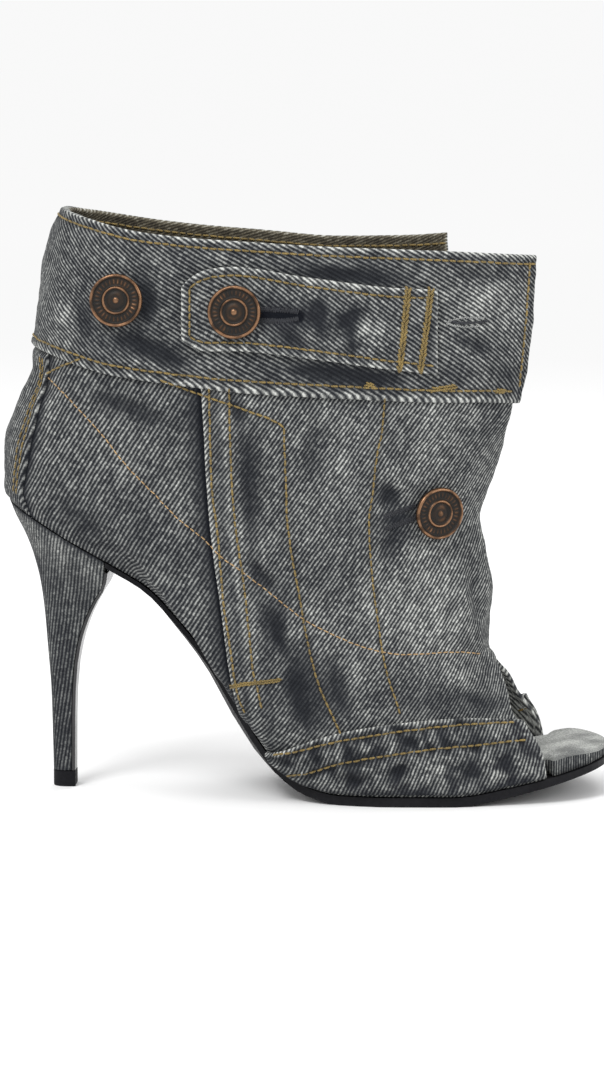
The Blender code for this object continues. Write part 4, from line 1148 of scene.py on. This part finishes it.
def make_cuff(side):
    """The band round the forefoot on one side, puckered along its two rows of stitches."""
    name = "outer" if side == OUTER else "inner"

    def cuff_x(level):
        return -VAMP_BAND_REACH + (shell_x(EDGES.at(name, level), level) + VAMP_BAND_REACH) * share

    share = crowded(CUFF_RUN, np.linspace(2.4, CUFF_RUN - 2.4, 116)) / CUFF_RUN
    top = np.zeros_like(share)
    for _ in range(12):
        top = locate(cuff_x(top), VAMP_BAND_TOP * VAMP_BAND_LINE.at("height", share))[1]
    share = share[:, None]
    up = np.concatenate([[0.04], np.linspace(0.075, 0.92, 26), 1 - NEAR_EDGE[::-1] / 24.0])
    level = np.maximum(top, 0.025)[:, None] * up
    theta = side * theta_at(cuff_x(level), level)
    drop, tone, px, py = drape(theta, level)
    base = shell(theta, level)
    run = share * CUFF_RUN
    edge = np.minimum(np.linalg.norm(base - base[:, -1:], axis=-1), np.minimum(run, CUFF_RUN - run))
    own, own_tone = fold_field(CUFF_FOLDS, px, py)
    rows = (CUFF_ROW, CUFF_LOW_ROW)
    row, beside = (sum(line_tone(line, px, py, width) for line in rows) for width in (2.6, 9.0))
    pucker = beside * np.sin(run * 0.95 + 2.2 * np.sin(run * 0.21) + 0.06 * py)
    lumps = 0.42 * waves(base, 7.5, 21) + 0.22 * waves(base, 4.0, 22)
    hold = smooth(up / 0.12) * smooth(edge / 1.2)
    relief = (own * 0.8 + 0.16 * pucker + lumps + 0.25) * hold - 0.3 * row
    foot = SEAM_GAP * (3 - smooth(share / 0.15)) + drop
    over, under = two_faces(theta, level, foot, VAMP_BAND_THICK, edge, relief, 0.45)
    wear_and_highlight = 0.9 * bell(edge, 0.8) + 0.3 * np.clip(lumps, 0, 1) + 0.2 * np.clip(pucker, 0, 1)
    # Painted shade in the rows' grooves, in the dips of the lumps and puckers, and along its foot by the sole
    dark = 0.35 * row + 0.8 * np.clip(-lumps, 0, 1) + 0.4 * np.clip(-pucker, 0, 1) + 0.5 * bell(up, 0.1)
    wear_and_shading = wear_and_shading_of(tone * 0.3 + own_tone, wear_and_highlight, dark)
    columns = base.swapaxes(0, 1)
    uv = weave(-side * level_run(columns).T, cloth_height(columns).T, CUFF_RIBS)
    # Its underside is painted pale all over, as painted light where it shows in the toe opening
    return add_slab("vamp_band_%s_cloth" % name, over, under, uv, wear_and_shading, wear_and_shading_of(0 * tone, 0.8), (DENIM,), 0,
                    "vamp_band_" + name)


# The heel and the footbed
def make_heel():
    """The heel's cover: rings from its tip, flat in front, that flare out to the sole's edge at the seat."""
    stem = np.linspace(0.02, 0.985, 78)
    height = np.concatenate([[0, 0.003, 0.008], stem, [0.992, 0.997, 1.0]])[:, None]
    share = np.sin(np.linspace(-math.pi / 2, math.pi / 2, 34)) / 2 + 0.5
    side = np.repeat((OUTER, INNER), (34, 33))
    share = np.concatenate([share[::-1], share[1:]])
    tip, breast = -BALL_TO_HEEL * TIP_FRONT, BREAST_LAP - BREAST_REACH
    back, front = -BALL_TO_HEEL * HEEL.at("back", height), tip + (breast - tip) * HEEL.at("front", height)
    x = back + (front - BREAST_COVER - SEAM_GAP - back) * share
    seat_x = -BALL_TO_HEEL + (BALL_TO_HEEL - BREAST_REACH) * share
    base = TOP_PIECE_HEIGHT + SEAM_GAP
    stem = TIP_WIDTH * HEEL.at("half", height) * rounded(share / 0.7) * (1 - 0.12 * share)
    flare = smooth((height - 0.8) / 0.2)
    half = stem * (1 - flare) + sole_half(seat_x, side) * flare
    rings = np.stack([x, side * half, base + (feather_z(seat_x) - base) * height], -1)

    uv = weave(rings[:, :1, 0] - level_run(rings), rings[..., 2], HEEL_RIBS)
    wear_and_highlight = 0.5 * smooth((height - 0.72) / 0.2) + 0.06 * waves(rings, 16, 31)
    dark = 0.7 * bell(height - 1, 0.012) + 0.35 * bell(height, 0.02)
    wear_and_shading = wear_and_shading_of(0.10 * waves(rings, 9, 32), wear_and_highlight, dark)
    return add_tube("heel_cloth", rings, uv, wear_and_shading, (HEEL_DENIM,), 0, "heel")


def cavity_half(xs, side):
    """Half the room between the upper's walls at x, from the sole to the footbed's top, on one side."""
    halves = []
    for level in np.linspace(0.0, INSOLE_LEVEL, 5):
        wall = shell(side * np.linspace(0.0, 1.0, 80), level, -WALL - SEAM_GAP * 1.5)
        halves.append(np.interp(xs, wall[:, 0], np.abs(wall[:, 1])))
    return np.min(halves, axis=0)


def insole_half(xs, side):
    """Half the footbed's width: inside the walls, and out to the sole's edge in the toe opening."""
    level = np.linspace(0.0, INSOLE_LEVEL, 5)
    edge = np.max(shell_x(EDGES.by_side(side, level), level))
    opening = smooth((xs - edge - SEAM_GAP) / 2.5)
    shown = sole_half(xs + INSOLE_MARGIN * 0.8, side) - INSOLE_MARGIN
    return np.maximum(cavity_half(xs, side) * (1 - opening) + shown * opening, 0.4)


def insole_profile():
    """The footbed's section, up its outer wall, over its top and down its inner wall. inset is a share of its
    width from the outer side, and share one of its thickness."""
    profile = [(0.0, share) for share in (0.0, 0.35, 0.7, 0.88)]
    for turn in np.linspace(0, math.pi / 2, 5):
        profile.append((0.012 * (1 - math.cos(turn)), 0.88 + 0.12 * math.sin(turn)))
    profile += [(inset, 1.0) for inset in np.linspace(0.03, 0.5, 16)]
    profile += [(1 - inset, share) for inset, share in profile[::-1][1:]]
    return np.array(profile).T


def make_insole():
    """The footbed, crowned down in the middle and rolled at its top edge. Its side wall takes the darker denim and
    painted shade, and its top has painted shade towards that wall.
    """
    heel_end = shell_x(0.0, 0.0) + WALL + 2 * SEAM_GAP
    front = (BALL_TO_TOE - INSOLE_MARGIN) * np.sin(np.linspace(0, math.pi / 2, 60))[1:]
    xs = np.concatenate([heel_end - heel_end * np.linspace(0, 1, 70) ** 1.4, front])[:, None]
    outer, inner = (insole_half(xs[:, 0], side)[:, None] for side in (OUTER, INNER))
    thin = 0.45 + 0.55 * smooth((xs + THIN_REACH) / (THIN_REACH - TREAD_REACH / 2))
    fall = 1 - 0.45 * smooth((xs - BALL_TO_TOE * 0.78) / (BALL_TO_TOE * 0.22))
    inset, share = insole_profile()
    edge = np.minimum(inset, 1 - inset)
    roll = smooth((0.12 - edge) / 0.12)
    lift = SEAM_GAP + (INSOLE_THICK * thin * fall - 1.2 * roll - 0.32 * smooth(edge / 0.3)) * share
    y = inner * inset - outer * (1 - inset)
    x = np.broadcast_to(xs, y.shape)
    rings = np.stack([x, y, feather_z(xs) + lift * steepness(xs)], -1)

    rim = share < 0.97
    # Painted shade along the side wall, and on the top towards it
    dark = np.where(rim, 0.15, 0.3 * roll)
    wear_and_highlight = np.where(~rim & (edge < 0.035), 0.1, 0.0)
    rim_uv, top_uv = np.stack([x * 1.6, lift * 0.6], -1), np.stack([y * 1.9 + x * 0.6, x * 1.7], -1)
    uv = np.where(rim[:, None], rim_uv, top_uv)
    wear_and_shading = wear_and_shading_of(0.12 * waves(rings, 12, 41), wear_and_highlight, dark)
    # The side wall takes the darker denim, for the shade along it
    on_rim = rim & (np.roll(share, -1) < 0.99)
    return add_tube("insole_cloth", rings, uv, wear_and_shading, (SOCK_DENIM, DENIM), on_rim, "insole")


# Buttons
BUTTON_SPOKES = 144
BUTTON_SHAPE = (
    (0.385, 0.02, 0.10), (0.455, 0.14, 0.30), (0.492, 0.32, 0.60), (0.500, 0.55, 0.85), (0.496, 0.75, 1.00),
    (0.482, 0.92, 1.00), (0.462, 0.98, 0.95), (0.444, 0.92, 0.70), (0.428, 0.76, 0.20), (0.418, 0.68, 0.05),
    (0.400, 0.66, 0.15), (0.385, 0.66, 0.30), (0.365, 0.66, 0.35), (0.345, 0.66, 0.35), (0.325, 0.66, 0.30),
    (0.305, 0.66, 0.15), (0.285, 0.68, 0.05), (0.270, 0.76, 0.30), (0.258, 0.92, 0.85), (0.245, 1.00, 1.00),
    (0.230, 0.97, 0.90), (0.215, 0.84, 0.40), (0.200, 0.72, 0.05), (0.180, 0.70, 0.06), (0.160, 0.76, 0.25),
    (0.135, 0.84, 0.40), (0.110, 0.88, 0.45), (0.085, 0.86, 0.30), (0.068, 0.84, 0.15), (0.055, 0.90, 0.70),
    (0.040, 0.98, 0.95), (0.020, 1.01, 1.00),
)
BEAD_RING = (0.300, 0.405)
BEADS = 30


def make_button(name):
    """A shank button over its CAD solid: its seat is read from that solid's own vertices."""
    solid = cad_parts[name]
    corners = np.array([solid.matrix_world @ v.co for v in solid.data.vertices]) / MM
    centre = corners.mean(0)
    _, _, ways = np.linalg.svd(corners - centre)
    axis = ways[2]
    if axis[1] > 0:
        axis = -axis
    reach = (corners - centre) @ axis
    foot, face = reach.min(), reach.max()
    away = np.linalg.norm((corners - centre) - reach[:, None] * axis, axis=1)
    middle = corners[away > away.max() * 0.9].mean(0)
    middle = middle - axis * ((middle - centre) @ axis)
    flat = np.cross(axis, (0, 0, 1.0))
    flat /= np.linalg.norm(flat)
    third = np.cross(axis, flat)
    cap = face - BUTTON_HEIGHT
    turn = np.linspace(0, 2 * math.pi, BUTTON_SPOKES, endpoint=False)
    rings, rub = [], []
    shank = SHANK_DIAMETER / 2
    for radius, height in ((shank, foot), (shank, cap * 0.5 + foot * 0.5), (shank, cap)):
        rings.append((radius + 0 * turn, height + 0 * turn))
        rub.append(0.1 + 0 * turn)
    for share, height, bright in BUTTON_SHAPE:
        bead = np.clip(np.cos(turn * BEADS), 0, 1) ** 0.5
        within = (share - BEAD_RING[0]) / (BEAD_RING[1] - BEAD_RING[0])
        swell = max(0.0, math.sin(math.pi * min(max(within, 0), 1))) ** 0.5
        height = cap + BUTTON_HEIGHT * (height + 0.12 * swell * bead)
        rings.append((BUTTON_DIAMETER * share + 0 * turn, height))
        rub.append(bright * (1 - swell) + swell * (0.12 + 0.62 * bead))
    points = []
    for radius, height in rings:
        out = np.cos(turn)[:, None] * flat + np.sin(turn)[:, None] * third
        points.append(middle + radius[:, None] * out + height[:, None] * axis)
    points.append((middle + axis * (cap + BUTTON_HEIGHT * 1.01))[None])
    rub = np.concatenate(rub + [[1.0]])
    points = np.concatenate(points)
    count = len(rings)
    faces = [list(f) for f in grid_faces(count, BUTTON_SPOKES, closed=True)]
    last = (count - 1) * BUTTON_SPOKES
    faces += [[last + k, last + (k + 1) % BUTTON_SPOKES, count * BUTTON_SPOKES] for k in range(BUTTON_SPOKES)]
    faces.append(list(range(BUTTON_SPOKES))[::-1])
    rub = rub + 0.12 * waves(points, 5.0, 51)
    return add_piece(name + "_turned", points, faces, (COPPER,), None, wear_and_shading_of(0.0, rub),
                     stands_for=(name,))


# Stitches
STITCH_RINGS = ((-1.0, 0.30), (-0.86, 0.78), (-0.45, 1.0), (0.0, 1.04), (0.45, 1.0), (0.86, 0.78), (1.0, 0.30))
STITCH_SIDES = 7


class Threads:
    """Stitches gathered into one piece for each kind of thread."""

    def __init__(self):
        self.points, self.uvs = [], []

    def add(self, start, end, normal, radius, lift=0.55, dip=1.15):
        """Short threads from start to end, bowed over the cloth between their sunk ends."""
        middle, way = (start + end) / 2, (end - start) / 2
        half = np.linalg.norm(way, axis=1, keepdims=True)
        way = way / half
        side = unit(np.cross(normal, way))
        rise = np.cross(way, side)
        turn = np.linspace(0, 2 * math.pi, STITCH_SIDES, endpoint=False)
        rings, uvs = [], []
        for t, width in STITCH_RINGS:
            centre = middle + way * half * t + rise * radius * (lift - dip * t**4)
            around = side[:, None] * np.cos(turn)[:, None] + rise[:, None] * np.sin(turn)[:, None] * 0.85
            rings.append(centre[:, None] + around * (radius * width))
            uvs.append(np.stack(np.broadcast_arrays(half * t, turn), -1))
        self.points.append(np.stack(rings, 1).reshape(-1, 3))
        self.uvs.append(np.stack(uvs, 1).reshape(-1, 2))

    def make(self, name, made, slot):
        points, uvs = np.concatenate(self.points), np.concatenate(self.uvs)
        size = len(STITCH_RINGS) * STITCH_SIDES
        one = [list(f) for f in grid_faces(len(STITCH_RINGS), STITCH_SIDES, closed=True)]
        one += [list(range(STITCH_SIDES))[::-1], list(range(size - STITCH_SIDES, size))]
        faces = [[k + base for k in f] for base in range(0, len(points), size) for f in one]
        return add_piece(name, points, faces, (made,), uvs)


def surface_of(pieces):
    """What a ray can hit: the given pieces, in millimetres."""
    points, faces = [], []
    for piece in pieces:
        mesh = piece.data
        base = len(points)
        coordinates = np.empty(len(mesh.vertices) * 3)
        mesh.vertices.foreach_get("co", coordinates)
        points.extend((coordinates.reshape(-1, 3) / MM).tolist())
        faces.extend([[v + base for v in p.vertices] for p in mesh.polygons])
    return BVHTree.FromPolygons(points, faces)


def cast(tree, start, way, reach=4000.0):
    spot, normal, _, _ = tree.ray_cast(Vector(start), Vector(way), reach)
    if spot is None:
        return None
    normal = np.array(normal)
    if normal @ way > 0:
        normal = -normal
    return np.array(spot), normal


def seen(tree, line, side, step=1.5):
    """The points of the cloth, with their normals, that a line of pixels shows on one side."""
    flip = np.array([1.0, -side, 1.0])
    found = []
    for px, py in curve(line, step):
        way = np.array([px - PHOTO_WIDTH / 2, PHOTO_HEIGHT / 2 - py, -FOCAL_PIXELS]) / FOCAL_PIXELS
        way = TURN @ way
        hit = cast(tree, EYE * flip, way * flip)
        if hit is not None:
            found.append(hit)
    return found


def pressed(tree, theta, level, outside=True, off=9.0):
    """The points of the cloth under places on the shell, met from outside or from inside."""
    theta, level = np.broadcast_arrays(theta, level)
    base, normal = shell(theta, level), shell_normal(theta, level)
    way = -normal if outside else normal
    found = []
    for spot, along in zip(base - way * off, way):
        hit = cast(tree, spot, along, off * 2)
        if hit is not None:
            found.append(hit)
    return found


LEAP = 6.0


def calmed(values, weight):
    """Values along a line, evened out with their neighbours. weight is a value's own share against theirs."""
    for _ in range(4):
        values[1:-1] = (values[:-2] + values[1:-1] * weight + values[2:]) / (weight + 2)
    return values


class Seam:
    """A line along the cloth, through points found on it with their normals."""

    def __init__(self, found, calm_normals=False, calm_spots=False):
        spots, normals = (np.array(values) for values in zip(*found))
        keep = np.concatenate([[True], np.linalg.norm(np.diff(spots, axis=0), axis=1) < LEAP])
        self.spots = calmed(spots[keep], 6) if calm_spots else spots[keep]
        self.normals = calmed(normals[keep], 2) if calm_normals else normals[keep]
        self.run = np.concatenate([[0], np.cumsum(np.linalg.norm(np.diff(self.spots, axis=0), axis=1))])
        self.length = self.run[-1]

    def spot(self, where):
        return np.stack([np.interp(where, self.run, column) for column in self.spots.T], -1)

    def normal(self, where):
        return unit(np.stack([np.interp(where, self.run, column) for column in self.normals.T], -1))

    def ways(self, where, reach):
        """The ways along the seam and across it, taken over reach on both sides of each place."""
        along = unit(self.spot(where + reach) - self.spot(where - reach))
        return along, np.cross(self.normal(where), along)


def by_turns(count):
    return np.where(np.arange(count) % 2, 1.0, -1.0)[:, None]


def sew(threads, found, pitch, length, radius, seed, wobble=0.07):
    """A row of stitches along points found on the cloth."""
    seam = Seam(found, calm_normals=True, calm_spots=True)
    rng = np.random.default_rng(seed)
    middles = np.arange(pitch / 2, seam.length - pitch / 4, pitch)
    half = length / 2 * rng.uniform(0.92, 1.06, len(middles))
    start, end = seam.spot(middles - half), seam.spot(middles + half)
    normal = seam.normal(middles)
    aside = np.cross(normal, unit(end - start))
    start = start + aside * rng.normal(0, wobble, (len(middles), 1))
    end = end + aside * rng.normal(0, wobble, (len(middles), 1))
    threads.add(start, end, normal, radius)


def chain(threads, found, spread, reach, pitch, radius, seed):
    """A thick bar of threads that lie along a line and cross it by turns, like a chain."""
    seam = Seam(found)
    rng = np.random.default_rng(seed)
    where = np.arange(reach / 2, seam.length - reach / 2, pitch)
    way, across = seam.ways(where, 0.8)
    aside = across * by_turns(len(where)) * spread
    middle = seam.spot(where) + aside * rng.uniform(0.7, 1.2, (len(where), 1))
    half = way * reach / 2 + aside * rng.uniform(-1.1, -0.4, (len(where), 1))
    threads.add(middle - half, middle + half, seam.normal(where), radius, lift=0.8, dip=1.2)


def bar_tack(threads, found, half_width, pitch, radius, seed, slant):
    """A bar of threads laid side by side across a line."""
    seam = Seam(found, calm_normals=True)
    rng = np.random.default_rng(seed)
    where = np.arange(0, seam.length, pitch)
    way, across = seam.ways(where, 0.3)
    lean = rng.normal(slant, 0.12, (len(where), 1)) * by_turns(len(where))
    reach = (across + way * lean) * half_width * rng.uniform(0.85, 1.1, (len(where), 1))
    middle = seam.spot(where)
    threads.add(middle - reach, middle + reach, seam.normal(where), radius, lift=0.7, dip=1.0)


# Rows are pitch, length and radius of their stitches. Bars are spread, reach, pitch and radius of their threads, and
# buttonholes half width, pitch and radius.
GOLD_STITCH, ORANGE_STITCH, SLIT_STITCH = (2.8, 2.6, 0.39), (2.4, 2.05, 0.24), (1.5, 2.4, 0.42)
FACING_CHAIN, TAB_CHAIN, BAND_CHAIN = (0.4, 2.0, 0.6, 0.3), (0.62, 2.7, 0.95, 0.46), (0.45, 1.8, 0.6, 0.34)
NAVY_TACK, PALE_TACK = (1.1, 0.42, 0.2), (0.42, 0.5, 0.13)
STAY_GIRTH = 150.0


def gold_row(threads, found, seed, thick=1.0):
    pitch, length, radius = GOLD_STITCH
    sew(threads, found, pitch, length, radius * thick, seed)


def topstitch_body(cloth, gold, orange):
    """The rows on the shaft and the forefoot, on both sides."""
    for side in (OUTER, INNER):
        for number, row in enumerate((BACK_ROW, *UPPER_ROWS, CUFF_ROW, CUFF_LOW_ROW)):
            gold_row(gold, seen(cloth, row, side), 100 + number)
        sew(orange, seen(cloth, LONG_ROW, side), *ORANGE_STITCH, 130)
        chain(gold, seen(cloth, FACING_BAR, side), *FACING_CHAIN, 140)
    gold_row(gold, seen(cloth, PLACKET_ROW, OUTER), 120, 0.9)
    level = np.linspace(0.12, 0.97, 90)
    for side in (OUTER, INNER):
        for number, inset in enumerate(STAY_ROW_INSETS):
            theta = side * (line_theta(STAY_LINE, level) - inset / STAY_GIRTH)
            gold_row(gold, pressed(cloth, theta, level), 150 + number, 0.9)


def topstitch_band(cloth, gold):
    """The rows round the waistband, and the one down its front end."""
    start, end = -theta_of(BAND_EDGES.at("outer", 1.5)), theta_of(BAND_EDGES.at("inner", 1.5))
    theta = start + (end - start) * (0.012 + 0.976 * np.linspace(0.0, 1.0, 420))
    rows = ((2 - TOP_ROW_INSET / BAND_HEIGHT, True), (1 + BAND_ROW_INSET / BAND_HEIGHT, True),
            (2 - INNER_ROW_INSET / BAND_HEIGHT, False))
    for number, (level, outside) in enumerate(rows):
        gold_row(gold, pressed(cloth, theta, level, outside), 160 + number)
    gold_row(gold, seen(cloth, BAND_END_ROW, OUTER), 163)


def topstitch_tab(cloth, gold):
    """The row round the tab, in two halves that start in the middle of its buttoned end."""
    run = np.linspace(TAB_ROW_INSET, TAB_LENGTH - 1.0, 120)
    along = np.concatenate([np.full(20, TAB_ROW_INSET), run]) / TAB_LENGTH
    aside = np.concatenate([np.linspace(0, 1, 20), np.ones(120)])
    half = tab_place(along, 0 * along)[3]
    for number, way in enumerate((1, -1)):
        theta, level, _, _ = tab_place(along, way * aside * (1 - TAB_ROW_INSET / half))
        gold_row(gold, pressed(cloth, theta, level, off=12.0), 170 + number, 0.95)


def sew_everything(cloth):
    gold, orange, navy, pale = Threads(), Threads(), Threads(), Threads()
    topstitch_body(cloth, gold, orange)
    topstitch_band(cloth, gold)
    topstitch_tab(cloth, gold)
    for number, bar in enumerate(TAB_BARS):
        chain(gold, seen(cloth, bar, OUTER), *TAB_CHAIN, 180 + number)
    for number, bar in enumerate(BAND_FOOT_BARS):
        chain(gold, seen(cloth, bar, OUTER), *BAND_CHAIN, 182 + number)
    gold_row(gold, seen(cloth, TOE_OPENING_ROW, OUTER), 186)
    sew(navy, seen(cloth, BAND_SLIT, OUTER), *SLIT_STITCH, 205, wobble=0.2)
    for number, row in enumerate(TAB_HOLE + PLACKET_HOLE):
        bar_tack(navy, seen(cloth, row, OUTER), *NAVY_TACK, 190 + number, slant=0.1)
    for number, row in enumerate(BAND_HOLE):
        bar_tack(pale, seen(cloth, row, OUTER), *PALE_TACK, 200 + number, slant=0.7)
    gold.make("gold_topstitching", GOLD, "denim")
    orange.make("orange_topstitching", ORANGE, "denim")
    navy.make("buttonhole_threads", NAVY, "denim")
    pale.make("band_buttonhole_threads", PALE, "denim")


upper, band, tab = make_upper(), make_band(), make_tab()
cuffs = [make_cuff(side) for side in (OUTER, INNER)]
make_heel()
make_insole()
for button in ("button_band", "button_tab", "button_placket"):
    make_button(button)
sew_everything(surface_of([upper, band, tab, *cuffs]))

for node, made in (("outsole", BLACK_LEATHER), ("breast_cover", GLOSS_LEATHER), ("top_piece", RUBBER)):
    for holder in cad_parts[node].material_slots:
        holder.material = made


# Camera, floor and light
def add_light(name, place, aim, size, power, colour=(1.0, 1.0, 1.0)):
    lamp = bpy.data.lights.new(name, "AREA")
    lamp.shape, lamp.size, lamp.energy, lamp.color = "DISK", size, power, colour
    made = bpy.data.objects.new(name, lamp)
    made.location = place
    made.rotation_mode = "QUATERNION"
    made.rotation_quaternion = (Vector(aim) - Vector(place)).to_track_quat("-Z", "Y")
    bpy.context.scene.collection.objects.link(made)


# The floor is duller near the lamps, so that it looks evenly pale. Distance is a share of FLOOR_REACH, in
# metres.
FLOOR_HALF = 40.0
FLOOR_REACH = 4.0
FLOOR_TONES = ((0.0, 0.91), (0.2, 0.92), (0.33, 0.94), (0.45, 0.965), (0.64, 0.98), (1.0, 0.999))


def make_stage():
    s = Shader("pale_floor")
    away = s.add("VectorMath", (s.place,), operation="LENGTH")["Value"]
    colour = s.ramp(away / FLOOR_REACH, *((reach, (tone,) * 3) for reach, tone in FLOOR_TONES))
    paint = s.finish(colour, 0.9, Specular_IOR_Level=0.0)
    corners = np.array(((-1, -1, 0), (1, -1, 0), (1, 1, 0), (-1, 1, 0))) * FLOOR_HALF / MM
    floor = bpy.data.objects.new("floor", make_mesh("floor", corners, [(0, 1, 2, 3)], (paint,)))
    bpy.context.scene.collection.objects.link(floor)

    world = bpy.data.worlds.new("studio")
    world.use_nodes = True
    world.node_tree.nodes["Background"].inputs[0].default_value = (0.945, 0.945, 0.945, 1)
    world.node_tree.nodes["Background"].inputs[1].default_value = 1.0
    bpy.context.scene.world = world
    add_light("key", (-0.45, -0.75, 1.1), (0, 0, 0.1), 0.5, 9.0)
    add_light("front", (0.95, -0.5, 0.6), (0, 0, 0.1), 0.5, 3.0)
    add_light("back", (0.2, 0.9, 1.0), (0, 0, 0.1), 0.8, 4.0)


def make_camera():
    lens = bpy.data.cameras.new("camera")
    lens.sensor_fit, lens.sensor_width, lens.sensor_height = "AUTO", SENSOR, SENSOR
    lens.lens = FOCAL_PIXELS / PHOTO_HEIGHT * SENSOR
    lens.clip_start, lens.clip_end = 0.05, 50.0
    camera = bpy.data.objects.new("camera", lens)
    camera.location = Vector(CAMERA_PLACE) * MM
    camera.rotation_mode = "QUATERNION"
    camera.rotation_quaternion = AHEAD.to_track_quat("-Z", "Y")
    bpy.context.scene.collection.objects.link(camera)
    bpy.context.scene.camera = camera


make_stage()
make_camera()
bpy.context.scene.view_settings.view_transform = "Standard"
